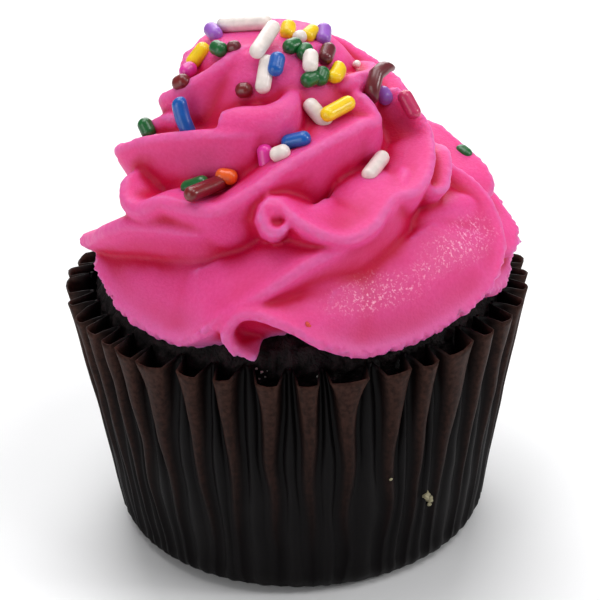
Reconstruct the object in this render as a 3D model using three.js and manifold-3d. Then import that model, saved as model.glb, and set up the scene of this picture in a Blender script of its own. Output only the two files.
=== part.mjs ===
// A cupcake: a chocolate cake in a pleated paper case, under a piped swirl of icing with sugar sprinkles.
// Millimetres and degrees. The origin is the middle of the case's flat bottom, +Z is up and -Y is the
// front. Azimuth 0 points along +X and -90 along -Y.
import * as THREE from "three";
import { LoftGeometry } from "three/addons/geometries/LoftGeometry.js";
import { mergeVertices } from "three/addons/utils/BufferGeometryUtils.js";
import Module from "manifold-3d";

// All pieces
const GAP = 0.3; // air between neighbouring pieces
const GRID = 0.005; // the vertices of a joined solid stand on a grid this fine
const BEAD = 0.15; // radius of the bead that joins two faces where they only pinch
const MAX_ROUNDS = 8;
const CUT_OVERRUN = 2; // how far a cut runs past the open end of what it hollows

// Paper case
const BASE_RADIUS = 26.3; // over the pleats, where the wall leaves the rounded corner
const RIM_RADIUS = 31.4;
const RIM_HEIGHT = 35.8;
const CORNER_RADIUS = 3.6;
const PAPER = 0.4;
const WALL_HEIGHTS = [17, 28]; // where the paper and the cake bend
// The pleats on the front one by one: azimuth, and the crest's width at the rim. Those behind are even,
// but for a little wander.
const FRONT_PLEATS = [
  [-158, 2.4], [-150, 2.2], [-142.5, 2.2], [-136, 2.8], [-127.5, 3.8], [-117, 2.3], [-108, 2.2],
  [-97.5, 2.3], [-88, 2.3], [-78.4, 3.4], [-66.5, 2.8], [-58, 2.4], [-48.6, 4], [-38.5, 2.6],
  [-28.7, 3], [-19.5, 2.5],
];
const BACK_PLEATS = { count: 24, first: -11, last: 193.5, wander: 1.3, narrowest: 2.1, widest: 3.6 };
const PLEAT_DEPTH = { foot: 0.45, rim: 3.3, growth: 2.6 };
const CREST = { foot: 0.5, growth: 3, least: 0.16 }; // width of a pleat's crest, least on its inner face
const FLANK = { width: 1, share: 0.4 }; // share of a valley that a flank takes at most
const PLEAT_THINNING = 0.8; // share of the paper by which a crest is narrower on its inner face
const RIM_WANDER = { rise: 0.4, growth: 6 };
const CREST_DROP = { drop: 0.7, growth: 8 }; // how far a crest ends below the rim between the crests

// Cake
const CAKE_EDGE_HEIGHT = 35.2;
const CAKE_EDGE_RISE = 1.4; // from the edge's top to the start of the dome
const CAKE_EDGE_BEVEL = { height: 1.6, reach: 0.1 };
const CAKE_CROWN_HEIGHT = 45;
const CAKE_WALL_GAP = GAP + 0.2;
const CAKE_SIDES = 36;
const DOME_START = 0.97; // share of the edge's radius
const DOME_SHARES = [0.86, 0.6, 0.3]; // where the dome bends
// What the icing leaves free: below lift over the cake's edge out past lap, and the gap over the dome.
const CAKE_ROOM = { floor: 20, reach: 40, lift: 0.9, lap: 1.2, gap: GAP + 0.1 };

// Icing: the reach of the swirl at each height, and the lean of its top towards -X
const SWIRL = [
  [34, 28.2],
  [38, 29.4],
  [41, 30.4],
  [44, 29.8],
  [48, 28.2],
  [52, 26.2],
  [55, 24.2],
  [58, 21.4],
  [62, 17.4],
  [66, 13.4],
  [69, 9],
  [71.5, 3],
];
const RISE = [[37, -10], [42, 0], [46, 14], [52, 27], [57, 38], [62, 45], [67, 52], [71, 65]];
const LEAN = { from: 45, to: 70, shift: -2.8 };
const CORE = [ // height, and share of the swirl's reach
  [30, 0.7], [39, 0.7], [46, 0.68], [51, 0.68], [56, 0.68], [60, 0.7], [64, 0.74], [67, 0.8], [69.3, 0.88],
];
const CORE_TOP = 70.4;
const CORE_SIDES = 24;
const SHARE_SCALE = 0.02; // puts azimuth and height on a scale with share, for an even curve
const STEP = 5; // length of crest between two sections of a blade
const SAMPLES = 60; // of a crest, to measure its length
const CURL_STEP = 0.68; // share of a step where a blade starts in a curl
const START_LENGTH = 6; // of crest over which a blade swells up
const END_LENGTH = 7;
const CURL_LIP_LENGTH = 2; // of crest over which a curl's lip swells up
const END_SINK = 4; // how far the ends of a blade go in
const HOOK_TURNS = [-80, -130, 180, 130]; // degrees round a curl's middle

// One blade of icing for each star point of the nozzle.
// A route lists the places that its crest passes: azimuth, height and, where it isn't 1, its share of the
// reach. lip is the crest's thickness; upper and lower are the half widths of the two faces at the root.
// Each may be a list, spread evenly from the blade's start to its end. belly swells the upper face.
// A curl is a hook at the start of the blade, of the given radius, turned on by curlEnd where it is given.
// start and end are the lengths of crest over which a blade swells up and dies away, where they aren't the
// usual ones.
const RIDGES = [
  {
    name: "left_skirt",
    route: [
      [-176, 43, 0.9], [-158, 40, 0.93], [-142, 38.4, 0.96], [-121, 38, 0.99], [-107, 43.2],
      [-88, 49], [-72, 51.8], [-56, 54.6], [-43, 56.4, 0.95], [-33, 57.6, 0.88],
    ],
    lip: 2,
    upper: [6, 8, 8, 6.5, 6, 5, 3],
    lower: [4, 4, 6, 8, 9, 9, 7],
    depth: 8.5,
  },
  {
    name: "right_lobe",
    curl: 3.2,
    start: 26,
    belly: 0.2,
    route: [
      [-101, 44, 1.02], [-91, 42.4, 1.03], [-83, 39.6, 1.03], [-75, 37.6, 1.02], [-62, 37.4],
      [-50, 38.4], [-36, 40.5], [-22, 45], [-15, 49.6, 0.98], [-13, 53.6, 0.96],
      [-14, 57.6, 0.94],
    ],
    lip: 1.8,
    upper: [5, 6, 9, 11, 11, 10, 8],
    lower: [4, 3.5, 4.5, 5, 5],
    depth: 9,
  },
  {
    name: "middle_lobe",
    curl: 1.5,
    curlEnd: -30,
    start: 12,
    end: 3,
    route: [
      [-93, 56.4, 1.03], [-86, 54.4, 1.05], [-76, 52.4, 1.05], [-67, 53, 1.04], [-57, 55, 1.02],
      [-48, 55.2, 1.03], [-39, 56, 1.02], [-27, 57.6], [-19, 59], [-15, 60.8], [-13, 62.6, 1.02],
      [-8, 64.6, 0.96],
    ],
    lip: 1.7,
    upper: [4, 6, 6.5, 6, 5, 4, 3],
    lower: [2, 3, 4, 4, 3, 3],
    depth: 7.5,
  },
  {
    name: "upper_band",
    end: 3,
    route: [
      [-168, 54.4, 0.76], [-158, 55, 0.84], [-151, 54.6, 0.98], [-146, 53.2], [-139, 53],
      [-131, 54.6], [-122, 54.8], [-112, 54.9], [-102, 56.8], [-89, 59.3], [-78, 60.6],
      [-66, 61.6], [-52, 62.2], [-40, 62.6], [-38, 64.4, 0.98], [-33, 66.6, 0.95],
    ],
    lip: [2.4, 2.6, 2.2, 2, 2],
    upper: [3, 3.5, 4, 5, 7, 6],
    lower: [4, 4.5, 5, 6, 6, 5],
    depth: 8,
  },
  {
    name: "left_band",
    route: [
      [165, 38], [180, 41, 0.97], [-165, 44.6, 0.96], [-156, 47.4, 0.97], [-145, 50, 0.96],
      [-132, 51, 0.92], [-118, 51.6, 0.89], [-104, 53.4, 0.87], [-90, 56, 0.86],
    ],
    lip: 2.4,
    upper: [2, 2.5, 4, 5, 5],
    lower: [4, 4, 5, 7, 7, 6],
    depth: 8,
  },
  {
    name: "third_band",
    route: [
      [172, 51, 0.84], [-178, 55, 0.9], [-165, 56.8], [-154, 59], [-140, 60.7], [-122, 62],
      [-112, 62.4], [-98, 62.8, 0.95], [-84, 63.4, 0.88],
    ],
    lip: 2,
    upper: [4, 4, 3],
    lower: [3, 3, 6, 8, 8, 7, 6],
    depth: 8,
  },
  {
    name: "left_shoulder",
    route: [
      [170, 56, 0.82], [-175, 58.4, 0.88], [-163, 59.8, 0.92], [-156, 61.2, 0.92],
      [-148, 62.4, 0.95], [-136, 63.2, 0.9],
    ],
    lip: 2.2,
    upper: 3.5,
    lower: 4,
    depth: 7,
  },
  {
    name: "crown_curl",
    start: 3,
    route: [
      [-124, 62.6, 0.97], [-117, 63.6, 1.02], [-107, 64.4, 1.04], [-97, 64.6, 1.04],
      [-87, 65.2, 1.05], [-76, 67], [-68, 69.2, 0.95],
    ],
    lip: [5, 5, 4.6, 4, 3],
    upper: 3,
    lower: [4, 4, 4],
    depth: 6,
  },
  {
    name: "crown_left",
    route: [
      [176, 62, 0.86], [-165, 63.2, 0.97], [-151, 65.2, 1.01], [-137, 67.8], [-122, 70],
      [-100, 70.6, 1.2],
    ],
    lip: 2.2,
    upper: 3,
    lower: [4, 5, 5],
    depth: 7,
  },
  {
    name: "crown_back",
    route: [
      [130, 68.4, 0.9], [152, 69], [174, 68.4], [-170, 67.4, 1.03], [-156, 66.4, 1.03],
      [-142, 65.8, 0.9],
    ],
    lip: 3,
    upper: 3.5,
    lower: 4,
    depth: 6,
  },
  {
    name: "crown_right",
    route: [
      [-52, 66.6, 0.88], [-38, 66.4, 0.98], [-26, 66, 1.01], [-14, 65.6, 1.02], [0, 66],
      [18, 67.6, 0.95],
    ],
    lip: 3,
    upper: 3,
    lower: 5,
    depth: 6,
  },
  {
    name: "ruffle",
    end: 3,
    route: [
      [-8, 58.2, 0.93], [-14, 56.6, 0.96], [-22, 55.4, 0.97], [-28.5, 54.3, 0.97],
      [-35, 53.4, 0.97], [-41, 54.2, 0.94], [-46, 56, 0.9],
    ],
    lip: 1.3,
    upper: 2,
    lower: [2.4, 4, 5, 5, 4, 3],
    depth: 6,
  },
  {
    name: "lobe_top",
    start: 10,
    route: [
      [-60, 47.4, 0.83], [-50, 48.4, 0.88], [-42, 48.8, 0.91], [-33, 48.8, 0.94],
      [-22, 48.4, 0.95], [-8, 47.6, 0.94],
    ],
    lip: [5, 7, 8, 8, 7, 6],
    upper: 6,
    lower: 8,
    depth: 8,
  },
  {
    name: "right_fold",
    route: [
      [-20, 39.8, 0.98], [-6, 41.4], [8, 44, 0.95], [24, 47.6, 0.93], [42, 52, 0.93],
    ],
    lip: 2.2,
    upper: 5,
    lower: 4.5,
    depth: 8,
  },
  {
    name: "right_shoulder",
    route: [
      [-12, 46, 0.94], [2, 49.2, 0.98], [16, 52, 0.92], [34, 55.6, 0.88],
    ],
    lip: 2.2,
    upper: 5,
    lower: 5,
    depth: 8,
  },
];

const CURL_FILL = { place: [-93, 54.9, 0.94], radius: 1.6 }; // the ball of icing in the middle lobe's curl

// The blades round the back repeat three shapes, turned to each of the azimuths in turns.
const BACK_RIDGES = [
  {
    name: "skirt",
    step: 7,
    turns: [-38, 8, 46, 84],
    route: [
      [0, 41, 0.97], [14, 37.8], [34, 38], [50, 41.5, 0.98], [64, 46, 0.95], [78, 50.5, 0.92],
      [92, 54, 0.87],
    ],
    lip: 2.2,
    upper: [5, 7, 7, 5],
    lower: 4.5,
    depth: 8.5,
  },
  {
    name: "shoulder",
    step: 7,
    turns: [38, 80],
    route: [
      [0, 50, 0.96], [18, 52.6], [38, 56], [58, 59.6, 0.97], [74, 62, 0.93],
    ],
    lip: 2.2,
    upper: 5,
    lower: 5,
    depth: 8,
  },
  {
    name: "crown",
    step: 7,
    turns: [-14, 26, 66, 104],
    route: [
      [0, 59.6, 0.92], [22, 62, 0.96], [44, 64.6, 0.95], [64, 67.6, 0.93], [84, 70.2, 0.88],
    ],
    lip: 2.4,
    upper: 4,
    lower: 5,
    depth: 7,
  },
];

// Sprinkles: sugar rods, each sighted from the eye point through a spot on the sheet across the swirl's
// axis. across and up place the spot on that sheet, and turn is the rod's slope on it.
const EYE = { distance: 260, elevation: 26.5, aim: 31.2 };
const ROD_RADIUS = 1.0;
const ROD_END = 0.45; // length of a rod's pointed end
const ROD_SIDES = 5;
const ROD_SINK = 0.45;
const SIGHTED = [
  // across, up, length, turn
  [-10.4, 36.7, 3, -51],
  [-6.2, 37.4, 7.6, 2],
  [-3.5, 34.6, 7, 55],
  [-0.4, 36.7, 3, 79],
  [2.6, 36.1, 3, 39],
  [4.5, 36, 3.4, 84],
  [-12.4, 33.7, 3.8, 51],
  [-9.6, 34.6, 2.6, -26],
  [-14.3, 31.7, 2.4, 34],
  [-15.1, 30.3, 2.6, 24],
  [-13.9, 26, 5.6, -73],
  [-19.7, 24.3, 2.8, -66],
  [-6.4, 29, 2.2, 0],
  [-3.6, 31, 5.1, 79],
  [-2.1, 32, 3.2, 77],
  [0.2, 34.5, 2.7, 19],
  [2.2, 32.3, 3.2, 87],
  [4.6, 33.5, 3.4, 69],
  [2.4, 30.3, 2.7, 24],
  [3.8, 30.6, 2.6, 69],
  [5.6, 30.9, 3.2, 59],
  [11.4, 30.1, 6.2, 60],
  [12.6, 27.5, 2.6, -61],
  [16, 26.3, 4, -63],
  [3.3, 25.4, 4.6, -51],
  [6.3, 24.8, 5.4, 27],
  [0.6, 21.5, 3.8, 11],
  [-1.6, 19.8, 2.6, 19],
  [-4.2, 19.8, 3.4, -83],
  [-9.2, 17.5, 2.8, -11],
  [-12.9, 16.6, 4, 17],
  [-12.3, 14.4, 6.7, 21],
  [11.2, 17.6, 5.6, 51],
  [23.5, 20, 2.6, -39],
];
// The rest lie round the back, thinner towards the foot. Each is dropped on the swirl from this far off.
const SCATTERED = { count: 14, from: 50, to: 112, jitter: 10, lowest: 50, highest: 65, thinning: 1.3 };
const SCATTERED_LENGTH = { shortest: 3, longest: 6.5 };
const GOLDEN_SHARE = 0.618; // of the range between one rod and the next, so that they never bunch
const CLEARANCE = 20;

const ROOT = new THREE.Group();
const wasm = await Module();
wasm.setup();

const radians = THREE.MathUtils.degToRad;
const clamp = THREE.MathUtils.clamp;
const lerp = THREE.MathUtils.lerp;

// An even value between 0 and 1 that is the same for the same number each time.
function drawn(number) {
  const wave = Math.sin(number * 127.1 + 311.7) * 43758.5453;
  return wave - Math.floor(wave);
}

// The value between the pairs of a rising list.
function along(pairs, at) {
  if (at <= pairs[0][0]) return pairs[0][1];
  for (let i = 1; i < pairs.length; i++) {
    const [low, before] = pairs[i - 1];
    const [high, after] = pairs[i];
    if (at <= high) return lerp(before, after, (at - low) / (high - low));
  }
  return pairs[pairs.length - 1][1];
}

function material(color, roughness) {
  return new THREE.MeshStandardMaterial({ color, roughness, metalness: 0 });
}

// A closed solid from a geometry, with the vertices that share a place made one.
function solid(geometry, tolerance = 1e-4) {
  const bare = geometry.index ? geometry.toNonIndexed() : geometry.clone();
  bare.deleteAttribute("normal");
  bare.deleteAttribute("uv");
  const merged = mergeVertices(bare, tolerance);
  const mesh = new wasm.Mesh({
    numProp: 3,
    vertProperties: new Float32Array(merged.attributes.position.array),
    triVerts: new Uint32Array(merged.index.array),
  });
  return new wasm.Manifold(mesh);
}

// The outer skin of the largest body, so that no sealed hollow and no loose scrap is left.
function whole(manifold) {
  return manifold.decompose().reduce((best, body) => (body.volume() > best.volume() ? body : best));
}

function onGrid(manifold) {
  const mesh = manifold.getMesh();
  const places = mesh.vertProperties.map((value) => Math.round(value / GRID) * GRID);
  const geometry = new THREE.BufferGeometry();
  geometry.setAttribute("position", new THREE.BufferAttribute(places, 3));
  geometry.setIndex(new THREE.BufferAttribute(mesh.triVerts, 1));
  return geometry;
}

// The middles of the edges, counted by place, that join more than two faces.
function pinches(geometry) {
  const merged = mergeVertices(geometry, GRID / 2);
  const corners = merged.index.array;
  const place = merged.attributes.position;
  const faces = new Map();
  for (let i = 0; i < corners.length; i++) {
    const next = i % 3 === 2 ? i - 2 : i + 1;
    const ends = [corners[i], corners[next]].sort((a, b) => a - b);
    const edge = faces.get(ends.join()) || { ends, count: 0 };
    edge.count++;
    faces.set(ends.join(), edge);
  }
  const point = (i) => new THREE.Vector3().fromBufferAttribute(place, i);
  return [...faces.values()]
    .filter((edge) => edge.count > 2)
    .map((edge) => point(edge.ends[0]).add(point(edge.ends[1])).multiplyScalar(0.5));
}

// The geometry of a joined solid. Its vertices go on a fine grid, because a cut leaves some too close
// together, and where two faces only pinch along an edge, a tiny bead joins them.
function geometryOf(manifold) {
  let body = manifold;
  for (let round = 0; round < MAX_ROUNDS; round++) {
    const geometry = onGrid(whole(solid(onGrid(body), GRID / 2)));
    const places = pinches(geometry);
    if (!places.length) return geometry;
    for (const { x, y, z } of places) {
      body = body.add(solid(new THREE.OctahedronGeometry(BEAD).translate(x, y, z)));
    }
  }
  throw new Error("the surface still pinches");
}

function polar(azimuth, radius, height) {
  const angle = radians(azimuth);
  return new THREE.Vector3(radius * Math.cos(angle), radius * Math.sin(angle), height);
}

// ---- paper case ----

// Azimuth and width at the rim of each pleat, all the way round.
function pleatTable() {
  const { count, first, last, wander, narrowest, widest } = BACK_PLEATS;
  const table = [...FRONT_PLEATS];
  for (let i = 0; i < count; i++) {
    const azimuth = lerp(first, last, i / (count - 1)) + wander * (2 * drawn(i + 10) - 1);
    table.push([azimuth, lerp(narrowest, widest, drawn(i + 50) ** 2)]);
  }
  return table;
}

function pleatDepth(height) {
  const { foot, rim, growth } = PLEAT_DEPTH;
  const grown = lerp(foot, rim, clamp(height / RIM_HEIGHT, 0, 1) ** growth);
  return grown * clamp(height / CORNER_RADIUS, 0, 1);
}

// The radius over the pleats, for the outer face or one set in from it: a rounded corner, then a straight
// wall.
function crestRadius(height, inset = 0) {
  if (height < CORNER_RADIUS) {
    const bend = CORNER_RADIUS - inset;
    const drop = CORNER_RADIUS - height;
    return BASE_RADIUS - CORNER_RADIUS + Math.sqrt(Math.max(0, bend ** 2 - drop ** 2));
  }
  const rise = (height - CORNER_RADIUS) / (RIM_HEIGHT - CORNER_RADIUS);
  return lerp(BASE_RADIUS, RIM_RADIUS, rise) - inset;
}

function valleyRadius(height, inset = 0) {
  return crestRadius(height, inset) - pleatDepth(height);
}

// One closed ring of paper, with four corners for each pleat. The inner face is set in by the paper's
// thickness.
function pleatRing(height, inset) {
  const share = height / RIM_HEIGHT;
  const outer = crestRadius(height, inset);
  const inner = valleyRadius(height, inset);
  const degrees = THREE.MathUtils.radToDeg(1 / outer);
  const thin = inset * PLEAT_THINNING * degrees;
  const table = pleatTable();
  const halves = table.map(([, width]) => (lerp(CREST.foot, width, share ** CREST.growth) / 2) * degrees);
  const points = [];
  table.forEach(([middle], i) => {
    const next = (i + 1) % table.length;
    const following = table[next][0] + (table[next][0] < middle ? 360 : 0);
    const half = halves[i];
    const crest = Math.max(half - thin, (CREST.least / 2) * degrees);
    const valley = following - halves[next] - (middle + half);
    const flank = Math.min(FLANK.width * degrees, FLANK.share * valley);
    const wander = RIM_WANDER.rise * (2 * drawn(i + 150) - 1) * share ** RIM_WANDER.growth;
    const lift = wander - CREST_DROP.drop * share ** CREST_DROP.growth;
    points.push(polar(middle - crest, outer, height + lift));
    points.push(polar(middle + crest, outer, height + lift));
    points.push(polar(middle + half + flank - thin, inner, height));
    points.push(polar(following - halves[next] - flank + thin, inner, height));
  });
  return points;
}

function raised(ring, rise) {
  return ring.map((point) => new THREE.Vector3(point.x, point.y, point.z + rise));
}

// Heights of the rounded corner, for the outer face or one set in from it.
function cornerHeights(inset) {
  return [0, 45].map((turn) => CORNER_RADIUS - (CORNER_RADIUS - inset) * Math.cos(radians(turn)));
}

// The rings of one face of the paper, up to the rim.
function pleatRings(inset) {
  const all = [...cornerHeights(inset), CORNER_RADIUS, ...WALL_HEIGHTS, RIM_HEIGHT];
  return all.map((height) => pleatRing(height, inset));
}

function paperCase() {
  const outside = pleatRings(0);
  const inside = pleatRings(PAPER);
  inside.push(raised(inside[inside.length - 1], CUT_OVERRUN));
  const full = new LoftGeometry(outside, { capStart: true, capEnd: true });
  const room = new LoftGeometry(inside, { capStart: true, capEnd: true });
  return geometryOf(solid(full).subtract(solid(room)));
}

// ---- cake ----

function cakeRadius(height) {
  return valleyRadius(height) - PAPER - CAKE_WALL_GAP;
}

function cakeDome(radius) {
  const edge = cakeRadius(CAKE_EDGE_HEIGHT);
  return lerp(CAKE_CROWN_HEIGHT, CAKE_EDGE_HEIGHT + CAKE_EDGE_RISE, (radius / edge) ** 2);
}

// A body turned about the vertical axis from pairs of radius and height.
function turned(profile, sides) {
  const points = profile.map(([radius, height]) => new THREE.Vector2(radius, height));
  return new THREE.LatheGeometry(points, sides).rotateX(Math.PI / 2);
}

function cake() {
  const floor = PAPER + GAP;
  const edge = cakeRadius(CAKE_EDGE_HEIGHT);
  const walls = [CORNER_RADIUS, ...WALL_HEIGHTS, CAKE_EDGE_HEIGHT - CAKE_EDGE_BEVEL.height];
  const profile = [[0, floor], [BASE_RADIUS - CORNER_RADIUS - GAP, floor]];
  for (const height of walls) profile.push([cakeRadius(height), height]);
  profile.push([edge + CAKE_EDGE_BEVEL.reach, CAKE_EDGE_HEIGHT]);
  for (const share of [DOME_START, ...DOME_SHARES]) profile.push([edge * share, cakeDome(edge * share)]);
  profile.push([0, CAKE_CROWN_HEIGHT]);
  return turned(profile, CAKE_SIDES);
}

// ---- icing ----

function lean(height) {
  return LEAN.shift * clamp((height - LEAN.from) / (LEAN.to - LEAN.from), 0, 1);
}

function swirlPoint(azimuth, height, share) {
  const point = polar(azimuth, along(SWIRL, height) * share, height);
  point.x += lean(height);
  return point;
}

// The way a blade points: drooping over the cake, level in the middle, raised near the top.
function outward(azimuth, height) {
  const rise = along(RISE, height);
  return polar(azimuth, Math.cos(radians(rise)), Math.sin(radians(rise)));
}

// The value of a size that may be a list spread evenly over a blade.
function spread(size, t) {
  if (!Array.isArray(size)) return size;
  const at = t * (size.length - 1);
  const i = Math.min(Math.floor(at), size.length - 2);
  return lerp(size[i], size[i + 1], at - i);
}

// The places of a hook that leads into a blade's first place.
function hook(radius, [azimuth, height, share = 1], curlEnd) {
  const degrees = THREE.MathUtils.radToDeg(1 / (along(SWIRL, height) * share));
  const turns = curlEnd === undefined ? HOOK_TURNS : [curlEnd, ...HOOK_TURNS];
  return turns.map((turn) => {
    const across = radius * Math.cos(radians(turn));
    const up = radius * (Math.sin(radians(turn)) - 1);
    return [azimuth + across * degrees, height + up, share];
  });
}

// The crest as a smooth curve through azimuth, height and share.
function crestCurve(ridge) {
  const curled = ridge.curl ? hook(ridge.curl, ridge.route[0], ridge.curlEnd) : [];
  const places = [...curled, ...ridge.route];
  let turns = 0;
  let last = places[0][0];
  const points = places.map(([azimuth, height, share = 1]) => {
    if (azimuth + turns < last - 180) turns += 360;
    last = azimuth + turns;
    return new THREE.Vector3(last * SHARE_SCALE, height * SHARE_SCALE, share);
  });
  return new THREE.CatmullRomCurve3(points, false, "centripetal");
}

// The outline of a blade across its crest, as distances up and out from the crest's middle.
function bladeOutline(ridge, t, swell, lipSwell) {
  const lip = (spread(ridge.lip, t) / 2) * lerp(0.5, 1, lipSwell);
  const upper = lerp(lip * 1.1, spread(ridge.upper, t), swell);
  const lower = lerp(lip * 1.1, spread(ridge.lower, t), swell);
  const { depth, belly = 0 } = ridge;
  return [
    [-lower, -depth],
    [upper, -depth],
    [lerp(lip, upper, 0.6 + 0.25 * belly), (0.25 * belly - 0.5) * depth],
    [lip, -1.1 * lip],
    [0.55 * lip, -0.2 * lip],
    [-0.55 * lip, -0.2 * lip],
    [-lip, -1.1 * lip],
  ];
}

function blade(ridge) {
  const curve = crestCurve(ridge);
  const at = (t) => {
    const place = curve.getPointAt(clamp(t, 0, 1));
    return swirlPoint(place.x / SHARE_SCALE, place.y / SHARE_SCALE, place.z);
  };
  let length = 0;
  for (let i = 0; i < SAMPLES; i++) length += at(i / SAMPLES).distanceTo(at((i + 1) / SAMPLES));
  const stations = Math.round(length / ((ridge.curl ? CURL_STEP : 1) * (ridge.step || STEP)));
  const sections = [];
  for (let i = 0; i <= stations; i++) {
    const t = i / stations;
    const place = curve.getPointAt(t);
    const crest = at(t);
    const run = at(t + 0.01).sub(at(t - 0.01)).normalize();
    const out = outward(place.x / SHARE_SCALE, place.y / SHARE_SCALE);
    out.addScaledVector(run, -out.dot(run)).normalize();
    const up = out.clone().cross(run);
    const start = clamp((t * length) / (ridge.start || START_LENGTH), 0, 1);
    const end = clamp(((1 - t) * length) / (ridge.end || END_LENGTH), 0, 1);
    const swell = (ridge.curl ? start ** 2 * (3 - 2 * start) : start) * end;
    const lipSwell = ridge.curl ? clamp((t * length) / CURL_LIP_LENGTH, 0, 1) * end : swell;
    crest.addScaledVector(out, -END_SINK * (1 - (ridge.curl ? end : swell)) ** 2);
    const placed = ([rise, reach]) => crest.clone().addScaledVector(up, rise).addScaledVector(out, reach);
    sections.push(bladeOutline(ridge, t, swell, lipSwell).map(placed));
  }
  return new LoftGeometry(sections, { capStart: true, capEnd: true });
}

function backRidges() {
  const made = [];
  for (const shape of BACK_RIDGES) {
    for (const turn of shape.turns) {
      const route = shape.route.map(([azimuth, height, share]) => [azimuth + turn, height, share]);
      made.push({ ...shape, route });
    }
  }
  return made;
}

// The mass of icing that the blades stand out of.
function core() {
  const profile = [[0, CORE[0][0]]];
  for (const [height, share] of CORE) profile.push([along(SWIRL, height) * share, height]);
  profile.push([0, CORE_TOP]);
  const geometry = turned(profile, CORE_SIDES);
  const place = geometry.attributes.position;
  for (let i = 0; i < place.count; i++) place.setX(i, place.getX(i) + lean(place.getZ(i)));
  return geometry;
}

// What the cake keeps free under the icing: everything up to the dome and the gap.
function cakeRoom() {
  const edge = cakeRadius(CAKE_EDGE_HEIGHT);
  const { floor, reach, lift, lap, gap } = CAKE_ROOM;
  const top = CAKE_EDGE_HEIGHT + lift;
  const profile = [[0, floor], [reach, floor], [reach, top], [edge + lap, top]];
  for (const share of [1, ...DOME_SHARES, 0]) profile.push([edge * share, cakeDome(edge * share) + gap]);
  return turned(profile, CAKE_SIDES);
}

// ---- sprinkles ----

// A rod about the vertical axis, with pointed ends.
function rod(length) {
  const half = length / 2;
  const side = half - ROD_END;
  return turned([[0, -half], [ROD_RADIUS, -side], [ROD_RADIUS, side], [0, half]], ROD_SIDES);
}

// A rod laid on the surface at the first place that a ray meets it, along the given direction as seen down
// the ray.
function laidRod(surface, from, ray, direction, length) {
  const hit = new THREE.Raycaster(from, ray).intersectObject(surface)[0];
  if (!hit) return null;
  const normal = hit.face.normal;
  const depth = clamp(-direction.dot(normal) / ray.dot(normal), -1, 1);
  const axis = direction.clone().addScaledVector(ray, depth).normalize();
  const turn = new THREE.Quaternion().setFromUnitVectors(new THREE.Vector3(0, 0, 1), axis);
  const middle = hit.point.clone().addScaledVector(normal, ROD_RADIUS - ROD_SINK);
  return rod(length).applyQuaternion(turn).translate(middle.x, middle.y, middle.z);
}

function sightedRods(surface) {
  const tilt = radians(EYE.elevation);
  const aim = new THREE.Vector3(0, 0, EYE.aim);
  const right = new THREE.Vector3(1, 0, 0);
  const up = new THREE.Vector3(0, Math.sin(tilt), Math.cos(tilt));
  const eye = new THREE.Vector3(0, -Math.cos(tilt), Math.sin(tilt)).multiplyScalar(EYE.distance).add(aim);
  const inSheet = (x, y) => right.clone().multiplyScalar(x).addScaledVector(up, y);
  return SIGHTED.map(([across, rise, length, turn]) => {
    const ray = aim.clone().add(inSheet(across, rise)).sub(eye).normalize();
    const direction = inSheet(Math.cos(radians(turn)), Math.sin(radians(turn)));
    return laidRod(surface, eye, ray, direction, length);
  });
}

function scatteredRods(surface) {
  const { count, from, to, jitter, lowest, highest, thinning } = SCATTERED;
  const rods = [];
  for (let i = 0; i < count; i++) {
    const azimuth = lerp(from, to, (i * GOLDEN_SHARE) % 1) + jitter * drawn(i + 200);
    const height = lerp(highest, lowest, ((i + 0.5) / count) ** thinning);
    const ray = outward(azimuth, height).multiplyScalar(-1);
    const start = swirlPoint(azimuth, height, 1).addScaledVector(ray, -CLEARANCE);
    const direction = new THREE.Vector3(0, 0, 1).cross(ray).normalize();
    direction.applyAxisAngle(ray, Math.PI * drawn(i + 300));
    const length = lerp(SCATTERED_LENGTH.shortest, SCATTERED_LENGTH.longest, drawn(i + 400));
    rods.push(laidRod(surface, start, ray, direction, length));
  }
  return rods;
}

function icing() {
  let swirl = solid(core());
  for (const ridge of [...RIDGES, ...backRidges()]) swirl = swirl.add(solid(blade(ridge)));
  const { x, y, z } = swirlPoint(...CURL_FILL.place);
  swirl = swirl.add(solid(new THREE.IcosahedronGeometry(CURL_FILL.radius).translate(x, y, z)));
  swirl = swirl.subtract(solid(cakeRoom()));
  const surface = new THREE.Mesh(geometryOf(swirl));
  for (const geometry of [...sightedRods(surface), ...scatteredRods(surface)]) {
    if (geometry) swirl = swirl.add(solid(geometry));
  }
  return geometryOf(swirl);
}

function piece(name, geometry, look) {
  const mesh = new THREE.Mesh(geometry, look);
  mesh.name = name;
  ROOT.add(mesh);
}

piece("paper_case", paperCase(), material(0x33241f, 0.55));
piece("cake", cake(), material(0x1b1311, 0.9));
piece("icing", icing(), material(0xe0559a, 0.45));

export default ROOT;
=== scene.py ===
# %% [markdown]
# # A cupcake with a piped swirl
#
# The cupcake is a dark chocolate cake in a pleated paper case. On top stands a tall swirl of pink icing,
# piped through a star nozzle, with sugar sprinkles all over it. This lesson builds it piece by piece: first
# the camera, the light and the floor, then the swirl, the sprinkles, the cake and its paper case, and last
# the crumbs. Everything is in metres, with the origin in the middle of the case's flat bottom, +Z up and -Y
# to the front. Sizes are written in millimetres and turned into metres where they are used.

# %% Load the fixed frame
import math

import bmesh
import bpy
import numpy as np
from mathutils import Matrix, Vector, noise
from mathutils.bvhtree import BVHTree
from mathutils.kdtree import KDTree


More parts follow.
